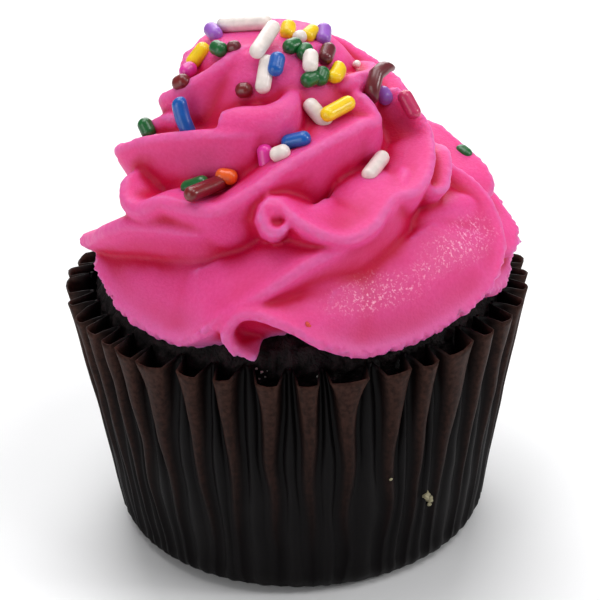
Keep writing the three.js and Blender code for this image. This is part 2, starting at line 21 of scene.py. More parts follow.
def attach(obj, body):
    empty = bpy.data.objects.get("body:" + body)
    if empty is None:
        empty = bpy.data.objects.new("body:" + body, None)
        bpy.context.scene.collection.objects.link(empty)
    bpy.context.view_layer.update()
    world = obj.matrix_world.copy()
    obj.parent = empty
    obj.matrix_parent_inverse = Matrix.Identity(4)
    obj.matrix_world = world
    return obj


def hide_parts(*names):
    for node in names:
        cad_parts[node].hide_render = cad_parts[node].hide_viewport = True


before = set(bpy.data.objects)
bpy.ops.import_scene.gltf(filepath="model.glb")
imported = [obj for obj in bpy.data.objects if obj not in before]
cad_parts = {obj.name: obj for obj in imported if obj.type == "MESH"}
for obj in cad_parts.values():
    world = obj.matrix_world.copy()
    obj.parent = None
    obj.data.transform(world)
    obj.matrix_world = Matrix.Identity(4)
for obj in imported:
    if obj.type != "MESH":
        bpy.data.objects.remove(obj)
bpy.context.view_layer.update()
MM = 0.001
print("nodes:", sorted(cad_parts))


# %% [markdown]
# ## Small helpers
#
# A real cupcake is uneven, so most sizes below wander a little. The wandering has to be the same each time
# the script runs. A number drawn from a formula gives that with nothing to seed, and Blender's own noise
# function gives wandering that flows smoothly from place to place. `along` reads a value between the pairs
# of a short list, which is how a maker would note a profile: this wide here, that wide there.

# %% Values that wander, and lists that are read in between
def drawn(number):
    """An even value from 0 to 1 that is the same for the same number each time."""
    wave = math.sin(number * 127.1 + 311.7) * 43758.5453
    return wave - math.floor(wave)


def mix(low, high, share):
    return low + (high - low) * share


def along(pairs, at):
    """The value between the pairs of a rising list. at may be an array."""
    places, values = zip(*pairs)
    return np.interp(at, places, values)


def smooth_step(low, high, value):
    share = np.clip((np.asarray(value, float) - low) / (high - low), 0, 1)
    return share * share * (3 - 2 * share)


def wander(places, size, seed):
    """Smooth noise from about -1 to 1 at each of the places, for features of the given size."""
    shift = Vector((17.3 * seed, -9.1 * seed, 5.7 * seed))
    return np.array([noise.noise(Vector(place) / size + shift) for place in places])


def screen_colour(red, green, blue):
    """A colour read off a screen, 0 to 255, as the linear values that a shader wants."""
    values = np.array((red, green, blue)) / 255
    linear = np.where(values <= 0.04045, values / 12.92, ((values + 0.055) / 1.055) ** 2.4)
    return (*linear, 1.0)


print("three draws:", [round(drawn(i), 3) for i in range(3)])


# %% [markdown]
# ## From a bmesh to a finished piece
#
# Each piece starts as a bmesh, Blender's editable mesh. `to_object` turns one into an object, and
# `finish_piece` gives it its material and lets it ride on the cupcake's one body. Modifiers do some of the
# shaping, and `modified` works each one into the mesh at once. `mesh_points` and `set_mesh_points` move all
# the vertices of a mesh through numpy, which is much faster than a loop over a hundred thousand of them.

# %% Making objects
def to_mesh(name, bm):
    mesh = bpy.data.meshes.new(name)
    bm.to_mesh(mesh)
    bm.free()
    return mesh


def to_object(name, bm):
    made = bpy.data.objects.new(name, to_mesh(name, bm))
    made.data.shade_smooth()
    bpy.context.scene.collection.objects.link(made)
    return made


def modified(source, kind, **settings):
    """The object with a modifier worked into its mesh, so that no live modifier is left."""
    modifier = source.modifiers.new(kind, kind)
    for name, value in settings.items():
        setattr(modifier, name, value)
    graph = bpy.context.evaluated_depsgraph_get()
    final = bpy.data.meshes.new_from_object(source.evaluated_get(graph))
    old = source.data
    source.modifiers.clear()
    source.data = final
    bpy.data.meshes.remove(old)
    final.shade_smooth()
    return source


def vertex_rows(vectors, name):
    rows = np.empty(len(vectors) * 3, np.float32)
    vectors.foreach_get(name, rows)
    return rows.reshape(-1, 3).astype(float)


def mesh_points(mesh):
    """The places of the vertices, in millimetres."""
    return vertex_rows(mesh.vertices, "co") / MM


def mesh_normals(mesh):
    return vertex_rows(mesh.vertex_normals, "vector")


def set_mesh_points(mesh, points):
    mesh.vertices.foreach_set("co", np.asarray(points * MM, np.float32).ravel())
    mesh.update()


def set_mask(mesh, name, values):
    """Keeps one number for each vertex, which a material reads with an Attribute node."""
    mask = mesh.attributes.new(name, "FLOAT", "POINT")
    mask.data.foreach_set("value", np.asarray(values, np.float32))


def triangles(made):
    return sum(len(polygon.vertices) - 2 for polygon in made.data.polygons)


def finish_piece(made, material, slot, node):
    made.data.materials.clear()
    made.data.materials.append(material)
    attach(made, "root")
    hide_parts(node)
    print(f"{made.name}: {triangles(made)} triangles")


# %% [markdown]
# ## Camera, light and floor
#
# The camera stands close, as for a picture of something small on a table: a quarter of a metre away,
# looking down by about 26 degrees through a long lens. A real camera is seldom held dead level, so a small
# roll is part of it. The camera's three axes are worked out and put in its matrix, which is plainer than
# juggling three rotations.

# %% Camera
AIM = Vector((0.33, 0, 31.2)) * MM
CAMERA_DISTANCE = 260 * MM
CAMERA_ELEVATION = math.radians(26.5)
CAMERA_ROLL = math.radians(-1.5)
CAMERA_LENS = 113.2

level = Vector((1, 0, 0))
rise = Vector((0, math.sin(CAMERA_ELEVATION), math.cos(CAMERA_ELEVATION)))
back = Vector((0, -math.cos(CAMERA_ELEVATION), math.sin(CAMERA_ELEVATION)))
right = math.cos(CAMERA_ROLL) * level + math.sin(CAMERA_ROLL) * rise
top = math.cos(CAMERA_ROLL) * rise - math.sin(CAMERA_ROLL) * level
camera = bpy.data.objects.new("camera", bpy.data.cameras.new("camera"))
camera.data.lens = CAMERA_LENS
camera.data.clip_start = 0.01
facing = Matrix((right, top, back)).transposed().to_4x4()
camera.matrix_world = Matrix.Translation(AIM + CAMERA_DISTANCE * back) @ facing
bpy.context.scene.collection.objects.link(camera)
bpy.context.scene.camera = camera
print("camera at", [round(x, 3) for x in camera.location], "lens", CAMERA_LENS)


# %% [markdown]
# The light is a studio's. A soft key panel stands high on the right, a wide one overhead gives the pale sheen
# along the tops of the folds, and one on the left keeps that side from going black. A small one low on the
# right makes the glints on the icing. The strongest stands behind: it whitens the floor and lights the edges.
# Big panels give soft shadows, and the floor and the air are nearly white.

# %% Light
def panel(name, place, size, power):
    lamp = bpy.data.lights.new(name, "AREA")
    lamp.shape = "SQUARE"
    lamp.size = size
    lamp.energy = power
    made = bpy.data.objects.new(name, lamp)
    made.location = place
    towards = AIM - Vector(place)
    made.rotation_euler = towards.to_track_quat("-Z", "Y").to_euler()
    bpy.context.scene.collection.objects.link(made)


panel("key_panel", (0.2, -0.12, 0.45), 0.18, 0.55)
panel("top_panel", (-0.08, 0.06, 0.5), 0.3, 1.25)
panel("right_panel", (0.35, -0.09, 0.2), 0.07, 0.4)
panel("left_panel", (-0.34, -0.34, 0.14), 0.3, 0.7)
panel("back_panel", (0, 0.55, 0.4), 0.5, 2.8)

world = bpy.data.worlds.new("studio")
world.use_nodes = True
sky = world.node_tree.nodes["Background"].inputs
sky["Color"].default_value = (1, 1, 1, 1)
sky["Strength"].default_value = 0.22
bpy.context.scene.world = world
bpy.context.scene.view_settings.view_transform = "Standard"


# %% [markdown]
# ## Shader helpers
#
# Every finish below is a small tree of nodes. `Nodes` saves the typing: it adds a node, sets its sockets or
# links them by name, and gives back its outputs. Two effects are needed by more than one finish, so each is
# a node group with named sockets. *Mottle* gives a slow change between two colours, as food and paper have
# where they are a little thicker or wetter. *Grain* gives a height that feeds a Bump node, as a mix of coarse
# lumps and fine grit.

# %% A tree of nodes with a few short words
class Nodes:
    def __init__(self, tree):
        self.tree = tree

    def put(self, socket, value):
        """Links another node's output to the socket, or sets the socket's own value."""
        if isinstance(value, bpy.types.NodeSocket):
            self.tree.links.new(value, socket)
        else:
            socket.default_value = value

    def add(self, kind, values=(), **settings):
        """The outputs of a new node, whose inputs get the values by name or number."""
        node = self.tree.nodes.new(kind)
        for name, setting in settings.items():
            setattr(node, name, setting)
        for socket, value in dict(values).items():
            self.put(node.inputs[socket], value)
        return node.outputs

    def math(self, operation, *values):
        return self.add("ShaderNodeMath", enumerate(values), operation=operation)[0]

    def noise(self, place, scale, detail):
        return self.add("ShaderNodeTexNoise", {"Vector": place, "Scale": scale, "Detail": detail})["Fac"]

    def stretched(self, value, low, high):
        """0 where the value is low or less, 1 where it is high or more."""
        return self.add("ShaderNodeMapRange", {"Value": value, "From Min": low, "From Max": high})["Result"]

    def blend(self, share, low, high, kind="RGBA"):
        return self.add("ShaderNodeMix", {"Factor": share, "A": low, "B": high}, data_type=kind)["Result"]


# %% Two shared node groups
def new_group(name, inputs, outputs):
    """A group with sockets of the given kinds, as its nodes and what its input node gives."""
    group = bpy.data.node_groups.new(name, "ShaderNodeTree")
    for in_out, sockets in (("INPUT", inputs), ("OUTPUT", outputs)):
        for socket, kind in sockets.items():
            group.interface.new_socket(socket, in_out=in_out, socket_type=f"NodeSocket{kind}")
    nodes = Nodes(group)
    return nodes, nodes.add("NodeGroupInput")


def mottle_group():
    inputs = {"Place": "Vector", "First": "Color", "Second": "Color", "Scale": "Float"}
    nodes, given = new_group("mottle", inputs, {"Colour": "Color"})
    blotches = nodes.stretched(nodes.noise(given["Place"], given["Scale"], 3), 0.35, 0.65)
    nodes.add("NodeGroupOutput", {"Colour": nodes.blend(blotches, given["First"], given["Second"])})
    return nodes.tree


def grain_group():
    inputs = {"Place": "Vector", "Coarse Scale": "Float", "Fine Scale": "Float", "Fine Share": "Float"}
    nodes, given = new_group("grain", inputs, {"Height": "Float"})
    coarse = nodes.noise(given["Place"], given["Coarse Scale"], 2)
    fine = nodes.noise(given["Place"], given["Fine Scale"], 4)
    nodes.add("NodeGroupOutput", {"Height": nodes.blend(given["Fine Share"], coarse, fine, "FLOAT")})
    return nodes.tree


MOTTLE = mottle_group()
GRAIN = grain_group()
print("node groups:", [group.name for group in bpy.data.node_groups])


# %% A finish is a tree with one surface
class Shader(Nodes):
    def __init__(self, name, **values):
        self.material = bpy.data.materials.new(name)
        self.material.use_nodes = True
        super().__init__(self.material.node_tree)
        self.place = self.add("ShaderNodeTexCoord")["Object"]
        self.surface(**values)

    def surface(self, **values):
        """Puts values in the Principled BSDF, each named as its socket is, with _ for a space."""
        for name, value in values.items():
            self.put(self.tree.nodes["Principled BSDF"].inputs[name.replace("_", " ")], value)

    def mask(self, name):
        return self.add("ShaderNodeAttribute", attribute_name=name)["Fac"]

    def mottled(self, first, second, scale):
        values = {"First": screen_colour(*first), "Second": screen_colour(*second), "Scale": scale}
        return self.add("ShaderNodeGroup", {"Place": self.place, **values}, node_tree=MOTTLE)["Colour"]

    def grain(self, coarse, fine, share):
        values = {"Coarse Scale": coarse, "Fine Scale": fine, "Fine Share": share}
        return self.add("ShaderNodeGroup", {"Place": self.place, **values}, node_tree=GRAIN)["Height"]

    def bump(self, height, strength, distance):
        """A normal from a height that is the given distance at its most."""
        values = {"Height": height, "Strength": strength, "Distance": distance}
        return self.add("ShaderNodeBump", values)["Normal"]


# %% [markdown]
# The floor is a plain pale table top. It isn't part of the cupcake.

# %% Floor
def floor_finish():
    shader = Shader("pale_floor", Roughness=0.7)
    shader.surface(Base_Color=shader.mottled((246, 246, 247), (242, 242, 243), 12))
    return shader.material


bm = bmesh.new()
bmesh.ops.create_grid(bm, x_segments=1, y_segments=1, size=1.5)
floor = to_object("floor", bm)
floor.data.materials.append(floor_finish())
print("floor:", tuple(round(x, 2) for x in floor.dimensions))


# %% [markdown]
# ## The swirl's plan
#
# A star nozzle lays a rope of icing with one long fin for each of its points. As the rope winds up and
# inwards, its fins lie over each other like ruffles. So the swirl is built from fins: each has a crest that
# runs round the cake and climbs, a rounded lip along it, and two faces that sink into the mass behind.
# A crest's route is noted as places on the swirl: azimuth in degrees, height in millimetres, and the share
# of the swirl's reach at that height, which is 1 where it is left out. Azimuth 0 points to the right and -90
# to the front. Where a fin starts with a curl, its crest is led in by a hook of the given radius, and a small
# ball fills the eye of the tighter one.

# %% Sizes of the swirl
SWIRL = (
    (34, 28.2), (38, 29.4), (41, 30.4), (44, 29.8), (48, 28.2), (52, 26.2), (55, 24.2), (58, 21.4),
    (62, 17.4), (66, 13.4), (69, 9), (71.5, 3),
)
RISE = ((37, -10), (42, 0), (46, 14), (52, 27), (57, 38), (62, 45), (67, 52), (71, 65))
LEAN_FROM, LEAN_TO, LEAN_SHIFT = 45, 70, -2.8
CORE = (
    (30, 0.7), (39, 0.7), (46, 0.68), (51, 0.68), (56, 0.68), (60, 0.7), (64, 0.74), (67, 0.8), (69.3, 0.88),
)
CORE_TOP = 70.4
SHARE_SCALE = 0.02
START_LENGTH, END_LENGTH, END_SINK = 6, 7, 4
HOOK_TURNS = (-80, -130, 180, 130)
CURL_EYE, CURL_EYE_RADIUS = (-93, 54.9, 0.94), 1.6


# %% Fins on the front, as they lie over each other
FINS = dict(
    left_skirt=dict(
        lip=2.0, upper=(6, 8, 8, 6.5, 6, 5, 3), lower=(4, 4, 6, 8, 9, 9, 7), depth=8.5,
        route=(
            (-176, 43, 0.9), (-158, 40, 0.93), (-142, 38.4, 0.96), (-121, 38, 0.99), (-107, 43.2),
            (-88, 49), (-72, 51.8), (-56, 54.6), (-43, 56.4, 0.95), (-33, 57.6, 0.88),
        ),
    ),
    right_lobe=dict(
        curl=3.2, start=26, lip=1.8, upper=(5, 6, 9, 11, 11, 10, 8), lower=(4, 3.5, 4.5, 5, 5), depth=9,
        belly=0.2,
        route=(
            (-101, 44, 1.02), (-91, 42.4, 1.03), (-83, 39.6, 1.03), (-75, 37.6, 1.02), (-62, 37.4),
            (-50, 38.4), (-36, 40.5), (-22, 45), (-15, 49.6, 0.98), (-13, 53.6, 0.96), (-14, 57.6, 0.94),
        ),
    ),
    middle_lobe=dict(
        curl=1.5, curl_end=-30, start=12, end=3, lip=1.7, upper=(4, 6, 6.5, 6, 5, 4, 3),
        lower=(2, 3, 4, 4, 3, 3), depth=7.5,
        route=(
            (-93, 56.4, 1.03), (-86, 54.4, 1.05), (-76, 52.4, 1.05), (-67, 53, 1.04), (-57, 55, 1.02),
            (-48, 55.2, 1.03), (-39, 56, 1.02), (-27, 57.6), (-19, 59), (-15, 60.8), (-13, 62.6, 1.02),
            (-8, 64.6, 0.96),
        ),
    ),
    upper_band=dict(
        lip=(2.4, 2.6, 2.2, 2, 2), upper=(3, 3.5, 4, 5, 7, 6), lower=(4, 4.5, 5, 6, 6, 5), depth=8, end=3,
        route=(
            (-168, 54.4, 0.76), (-158, 55, 0.84), (-151, 54.6, 0.98), (-146, 53.2), (-139, 53),
            (-131, 54.6), (-122, 54.8), (-112, 54.9), (-102, 56.8), (-89, 59.3), (-78, 60.6), (-66, 61.6),
            (-52, 62.2), (-40, 62.6), (-38, 64.4, 0.98), (-33, 66.6, 0.95),
        ),
    ),
    left_band=dict(
        lip=2.4, upper=(2, 2.5, 4, 5, 5), lower=(4, 4, 5, 7, 7, 6), depth=8,
        route=(
            (165, 38), (180, 41, 0.97), (-165, 44.6, 0.96), (-156, 47.4, 0.97), (-145, 50, 0.96),
            (-132, 51, 0.92), (-118, 51.6, 0.89), (-104, 53.4, 0.87), (-90, 56, 0.86),
        ),
    ),
    third_band=dict(
        lip=2.0, upper=(4, 4, 3), lower=(3, 3, 6, 8, 8, 7, 6), depth=8,
        route=(
            (172, 51, 0.84), (-178, 55, 0.9), (-165, 56.8), (-154, 59), (-140, 60.7), (-122, 62),
            (-112, 62.4), (-98, 62.8, 0.95), (-84, 63.4, 0.88),
        ),
    ),
    left_shoulder=dict(
        lip=2.2, upper=3.5, lower=4, depth=7,
        route=(
            (170, 56, 0.82), (-175, 58.4, 0.88), (-163, 59.8, 0.92), (-156, 61.2, 0.92),
            (-148, 62.4, 0.95), (-136, 63.2, 0.9),
        ),
    ),
    crown_curl=dict(
        start=3, lip=(5, 5, 4.6, 4, 3), upper=3, lower=(4, 4, 4), depth=6,
        route=(
            (-124, 62.6, 0.97), (-117, 63.6, 1.02), (-107, 64.4, 1.04), (-97, 64.6, 1.04),
            (-87, 65.2, 1.05), (-76, 67), (-68, 69.2, 0.95),
        ),
    ),
    crown_left=dict(
        lip=2.2, upper=3, lower=(4, 5, 5), depth=7,
        route=(
            (176, 62, 0.86), (-165, 63.2, 0.97), (-151, 65.2, 1.01), (-137, 67.8), (-122, 70),
            (-100, 70.6, 1.2),
        ),
    ),
    crown_back=dict(
        lip=3, upper=3.5, lower=4, depth=6,
        route=(
            (130, 68.4, 0.9), (152, 69), (174, 68.4), (-170, 67.4, 1.03), (-156, 66.4, 1.03),
            (-142, 65.8, 0.9),
        ),
    ),
    crown_right=dict(
        lip=3, upper=3, lower=5, depth=6,
        route=(
            (-52, 66.6, 0.88), (-38, 66.4, 0.98), (-26, 66, 1.01), (-14, 65.6, 1.02), (0, 66),
            (18, 67.6, 0.95),
        ),
    ),
    ruffle=dict(
        lip=1.3, upper=2, lower=(2.4, 4, 5, 5, 4, 3), depth=6, end=3,
        route=(
            (-8, 58.2, 0.93), (-14, 56.6, 0.96), (-22, 55.4, 0.97), (-28.5, 54.3, 0.97), (-35, 53.4, 0.97),
            (-41, 54.2, 0.94), (-46, 56, 0.9),
        ),
    ),
    lobe_top=dict(
        start=10, lip=(5, 7, 8, 8, 7, 6), upper=6, lower=8, depth=8,
        route=(
            (-60, 47.4, 0.83), (-50, 48.4, 0.88), (-42, 48.8, 0.91), (-33, 48.8, 0.94), (-22, 48.4, 0.95),
            (-8, 47.6, 0.94),
        ),
    ),
    right_fold=dict(
        lip=2.2, upper=5, lower=4.5, depth=8,
        route=((-20, 39.8, 0.98), (-6, 41.4), (8, 44, 0.95), (24, 47.6, 0.93), (42, 52, 0.93)),
    ),
    right_shoulder=dict(
        lip=2.2, upper=5, lower=5, depth=8,
        route=((-12, 46, 0.94), (2, 49.2, 0.98), (16, 52, 0.92), (34, 55.6, 0.88)),
    ),
)


# %% Fins round the back: three shapes, each turned to several azimuths
BACK_FINS = dict(
    skirt=dict(
        turns=(-38, 8, 46, 84), lip=2.2, upper=(5, 7, 7, 5), lower=4.5, depth=8.5,
        route=(
            (0, 41, 0.97), (14, 37.8), (34, 38), (50, 41.5, 0.98), (64, 46, 0.95), (78, 50.5, 0.92),
            (92, 54, 0.87),
        ),
    ),
    shoulder=dict(
        turns=(38, 80), lip=2.2, upper=5, lower=5, depth=8,
        route=((0, 50, 0.96), (18, 52.6), (38, 56), (58, 59.6, 0.97), (74, 62, 0.93)),
    ),
    crown=dict(
        turns=(-14, 26, 66, 104), lip=2.4, upper=4, lower=5, depth=7,
        route=((0, 59.6, 0.92), (22, 62, 0.96), (44, 64.6, 0.95), (64, 67.6, 0.93), (84, 70.2, 0.88)),
    ),
)


def all_fins():
    yield from FINS.values()
    for shape in BACK_FINS.values():
        for turn in shape["turns"]:
            yield dict(shape, route=[(azimuth + turn, *rest) for azimuth, *rest in shape["route"]])


print(len(list(all_fins())), "fins")


# %% [markdown]
# ## From a route to a fin
#
# A curve through the route's places gives the crest. It is a centripetal Catmull-Rom curve, which passes
# through each place and doesn't overshoot at the tight ones. It is drawn in azimuth, height and share, and
# then put on the swirl. The swirl's reach depends on the height, and its top leans a little to the left.

# %% The crest's line
CURVE_SAMPLES = 40


def lean(height):
    return LEAN_SHIFT * np.clip((height - LEAN_FROM) / (LEAN_TO - LEAN_FROM), 0, 1)


def on_swirl(places):
    """Points in millimetres for rows of azimuth, height and share."""
    azimuth, height, share = np.asarray(places, float).T
    reach = along(SWIRL, height) * share
    angle = np.radians(azimuth)
    return np.stack((reach * np.cos(angle) + lean(height), reach * np.sin(angle), height), 1)


def outward(places):
    """The way a fin points: drooping over the cake, level in the middle, raised near the top."""
    azimuth, height, _ = np.asarray(places, float).T
    angle, up = np.radians(azimuth), np.radians(along(RISE, height))
    return np.stack((np.cos(up) * np.cos(angle), np.cos(up) * np.sin(angle), np.sin(up)), 1)


def unwound(route):
    """The route with a share for each place, and azimuths that never jump by a full turn."""
    places = [(*place, 1.0)[:3] for place in route]
    azimuths = np.degrees(np.unwrap(np.radians([place[0] for place in places])))
    return [(azimuth, height, share) for azimuth, (_, height, share) in zip(azimuths, places)]


def hook(radius, place, *last):
    azimuth, height, share = place
    degrees = math.degrees(1 / (along(SWIRL, height) * share))
    turns = [math.radians(turn) for turn in (*last, *HOOK_TURNS)]
    return [
        (azimuth + radius * math.cos(turn) * degrees, height + radius * (math.sin(turn) - 1), share)
        for turn in turns
    ]


def centripetal(points):
    """A dense line along the centripetal Catmull-Rom curve through the points."""
    points = np.asarray(points, float)
    padded = np.vstack((2 * points[0] - points[1], points, 2 * points[-1] - points[-2]))
    line = [points[:1]]
    for p0, p1, p2, p3 in zip(padded, padded[1:], padded[2:], padded[3:]):
        d0, d1, d2 = (math.sqrt(np.linalg.norm(b - a)) for a, b in ((p0, p1), (p1, p2), (p2, p3)))
        start = ((p1 - p0) / d0 - (p2 - p0) / (d0 + d1) + (p2 - p1) / d1) * d1
        end = ((p2 - p1) / d1 - (p3 - p1) / (d1 + d2) + (p3 - p2) / d2) * d1
        t = (np.arange(CURVE_SAMPLES) + 1)[:, None] / CURVE_SAMPLES
        line.append(
            p1 + t * start + t**2 * (3 * (p2 - p1) - 2 * start - end) + t**3 * (2 * (p1 - p2) + start + end)
        )
    return np.vstack(line)


def crest_places(fin):
    """A function from 0 to 1 along the crest to rows of azimuth, height and share."""
    places = unwound(fin["route"])
    if "curl" in fin:
        last = [fin["curl_end"]] if "curl_end" in fin else []
        places = [*hook(fin["curl"], places[0], *last), *places]
    scale = np.array((SHARE_SCALE, SHARE_SCALE, 1))
    line = centripetal(np.array(places) * scale)
    run = np.concatenate(([0], np.cumsum(np.linalg.norm(np.diff(line, axis=0), axis=1))))
    run /= run[-1]
    line = line / scale
    return lambda t: np.stack([np.interp(np.clip(t, 0, 1), run, column) for column in line.T], 1)


print("left skirt starts at", on_swirl(crest_places(FINS["left_skirt"])(np.array([0.0]))).round(1)[0])


# %% [markdown]
# ## A fin's cross-section
#
# Cut across its crest, a fin is a wedge with a rounded lip. Eight corners say it: two at the root, two
# half way, and four round the lip. Cutting the corners off twice turns them into a smooth outline, as
# sanding does, and a belly fills the upper face out. Each fin is then a grid, a row for each place along the
# crest and a column for each point of the outline, whose vertices are moved onto the fin. The grid's own
# operator makes the faces.

# %% Outline and fin
FIN_STEP = 0.8
CORNER_CUTS = 2
CURL_LIP_LENGTH = 2
FIN_SEAM = 1e-6 * MM


def spread(size, t):
    """A size that may be a list spread evenly over a fin."""
    sizes = np.atleast_1d(size)
    return np.interp(t, np.linspace(0, 1, len(sizes)), sizes)


def fin_outline(fin, t, swell, lip_swell):
    """Points up and out from the crest, as an array of place, corner and (up, out)."""
    lip = spread(fin["lip"], t) / 2 * mix(0.5, 1, lip_swell)
    upper = mix(lip * 1.1, spread(fin["upper"], t), swell)
    lower = mix(lip * 1.1, spread(fin["lower"], t), swell)
    deep = spread(fin["depth"], t)
    belly = fin.get("belly", 0)
    corners = (
        (-lower, -deep), (upper, -deep), (mix(lip, upper, 0.6 + 0.25 * belly), (0.25 * belly - 0.5) * deep),
        (lip, -1.1 * lip), (0.55 * lip, -0.2 * lip), (-0.55 * lip, -0.2 * lip), (-lip, -1.1 * lip),
        (-mix(lip, lower, 0.5), -0.5 * deep),
    )
    outline = np.stack([np.stack(corner, 1) for corner in corners], 1)
    for _ in range(CORNER_CUTS):
        following = np.roll(outline, -1, axis=1)
        cut = np.stack((0.75 * outline + 0.25 * following, 0.25 * outline + 0.75 * following), 2)
        outline = cut.reshape(len(t), -1, 2)
    return outline


def fin_rows(fin):
    """The fin's points in millimetres, as an array of place, outline point and (x, y, z)."""
    places = crest_places(fin)
    length = np.linalg.norm(np.diff(on_swirl(places(np.linspace(0, 1, 61))), axis=0), axis=1).sum()
    t = np.linspace(0, 1, round(length / FIN_STEP) + 1)
    crest = on_swirl(places(t))
    run = on_swirl(places(t + 0.01)) - on_swirl(places(t - 0.01))
    run /= np.linalg.norm(run, axis=1)[:, None]
    out = outward(places(t))
    out -= (out * run).sum(1)[:, None] * run
    out /= np.linalg.norm(out, axis=1)[:, None]
    up = np.cross(out, run)
    curled = "curl" in fin
    start = np.clip(t * length / fin.get("start", START_LENGTH), 0, 1)
    end = np.clip((1 - t) * length / fin.get("end", END_LENGTH), 0, 1)
    swell = smooth_step(0, 1, start) * end if curled else start * end
    lip_swell = np.clip(t * length / CURL_LIP_LENGTH, 0, 1) * end if curled else swell
    crest = crest - (END_SINK * (1 - (end if curled else swell)) ** 2)[:, None] * out
    outline = fin_outline(fin, t, swell, lip_swell)
    return crest[:, None] + outline[..., :1] * up[:, None] + outline[..., 1:] * out[:, None]


def add_tube(bm, rows, seam):
    """A grid whose vertices stand on the rows of points. Those closer than the seam are merged."""
    rows = np.concatenate((rows, rows[:, :1]), 1)
    count, width = rows.shape[:2]
    made = bmesh.ops.create_grid(bm, x_segments=count - 1, y_segments=width - 1, size=0.5)["verts"]
    for vert in made:
        row = round((vert.co.x + 0.5) * (count - 1))
        column = round((vert.co.y + 0.5) * (width - 1))
        vert.co = rows[row, column] * MM
    bmesh.ops.remove_doubles(bm, verts=made, dist=seam)


bm = bmesh.new()
for fin in all_fins():
    add_tube(bm, fin_rows(fin), FIN_SEAM)
    bmesh.ops.holes_fill(bm, edges=[edge for edge in bm.edges if edge.is_boundary])
eye_place = Matrix.Translation(Vector(on_swirl([CURL_EYE])[0]) * MM)
bmesh.ops.create_icosphere(bm, subdivisions=3, radius=CURL_EYE_RADIUS * MM, matrix=eye_place)
bmesh.ops.recalc_face_normals(bm, faces=bm.faces)
print("fins:", len(bm.verts), "vertices")


# %% [markdown]
# ## The mass behind the fins
#
# The fins stand out of a plain core, turned like a chess piece: a profile of a few vertices, joined by edges
# and spun round the axis. It leans with the swirl.

# %% Core
SPIN_STEPS = 96
SPIN_SEAM = 1e-5 * MM


def spun(profile):
    """Pairs of radius and height, in millimetres, spun to a closed shape about the axis."""
    bm = bmesh.new()
    verts = [bm.verts.new((radius * MM, 0, height * MM)) for radius, height in profile]
    edges = [bm.edges.new(pair) for pair in zip(verts, verts[1:])]
    bmesh.ops.spin(
        bm, geom=verts + edges, cent=(0, 0, 0), axis=(0, 0, 1), angle=2 * math.pi, steps=SPIN_STEPS,
        use_merge=True,
    )
    bmesh.ops.remove_doubles(bm, verts=bm.verts, dist=SPIN_SEAM)
    bmesh.ops.recalc_face_normals(bm, faces=bm.faces)
    return bm


core_side = [(float(along(SWIRL, height)) * share, height) for height, share in CORE]
core = spun([(0, CORE[0][0]), *core_side, (0, CORE_TOP)])
for vert in core.verts:
    vert.co.x += float(lean(vert.co.z / MM)) * MM
core_mesh = to_mesh("core", core)
bm.from_mesh(core_mesh)
bpy.data.meshes.remove(core_mesh)
print("fins and core:", len(bm.verts), "vertices")


# %% [markdown]
# ## One skin over it all
#
# The fins and the core still pass through each other. A Remesh modifier in voxel mode turns them into one
# closed skin of even faces, which is what soft icing wants: it rounds every meeting line a little. A
# Boolean would keep hard seams there. A Smooth modifier then takes the voxels' steps away.

# %% Remesh
VOXEL = 0.33
icing = modified(to_object("icing_swirl", bm), "REMESH", mode="VOXEL", voxel_size=VOXEL * MM)
print("skin:", triangles(icing), "triangles")


# %% [markdown]
# The icing sits on the cake, so the cake's room is cut out of it: everything below the cake's edge, and the
# low dome above it with a little air. That is a Boolean with a spun shape, done while the skin's steps are
# still there, so that the smoothing afterwards rounds the cut edges as well. A Decimate modifier then
# brings the skin down to a size that stays easy to work with.

# %% The cake's room, and a smooth skin
BASE_RADIUS, RIM_RADIUS, RIM_HEIGHT, CORNER_RADIUS = 26.3, 31.4, 35.8, 3.6
CAKE_EDGE_RADIUS = 27.2
CAKE_EDGE_HEIGHT, CAKE_EDGE_RISE, CAKE_CROWN_HEIGHT = 35.2, 1.4, 45
ROOM_LIFT, ROOM_LAP, ROOM_GAP = 0.9, 1.2, 0.4
ROOM_FOOT, ROOM_REACH, DOME_STEPS = 20, 40, 10
ICING_TRIANGLES = 185000


def cake_dome(radius):
    return mix(CAKE_CROWN_HEIGHT, CAKE_EDGE_HEIGHT + CAKE_EDGE_RISE, (radius / CAKE_EDGE_RADIUS) ** 2)


room_top = CAKE_EDGE_HEIGHT + ROOM_LIFT
room_profile = [(0, ROOM_FOOT), (ROOM_REACH, ROOM_FOOT), (ROOM_REACH, room_top)]
room_profile.append((CAKE_EDGE_RADIUS + ROOM_LAP, room_top))
for step in range(DOME_STEPS, -1, -1):
    radius = CAKE_EDGE_RADIUS * step / DOME_STEPS
    room_profile.append((radius, cake_dome(radius) + ROOM_GAP))
room = to_object("cake_room", spun(room_profile))
modified(icing, "BOOLEAN", operation="DIFFERENCE", solver="MANIFOLD", object=room)
bpy.data.objects.remove(room)
modified(icing, "SMOOTH", factor=0.5, iterations=5)
modified(icing, "DECIMATE", ratio=ICING_TRIANGLES / triangles(icing))
print("icing:", triangles(icing), "triangles")
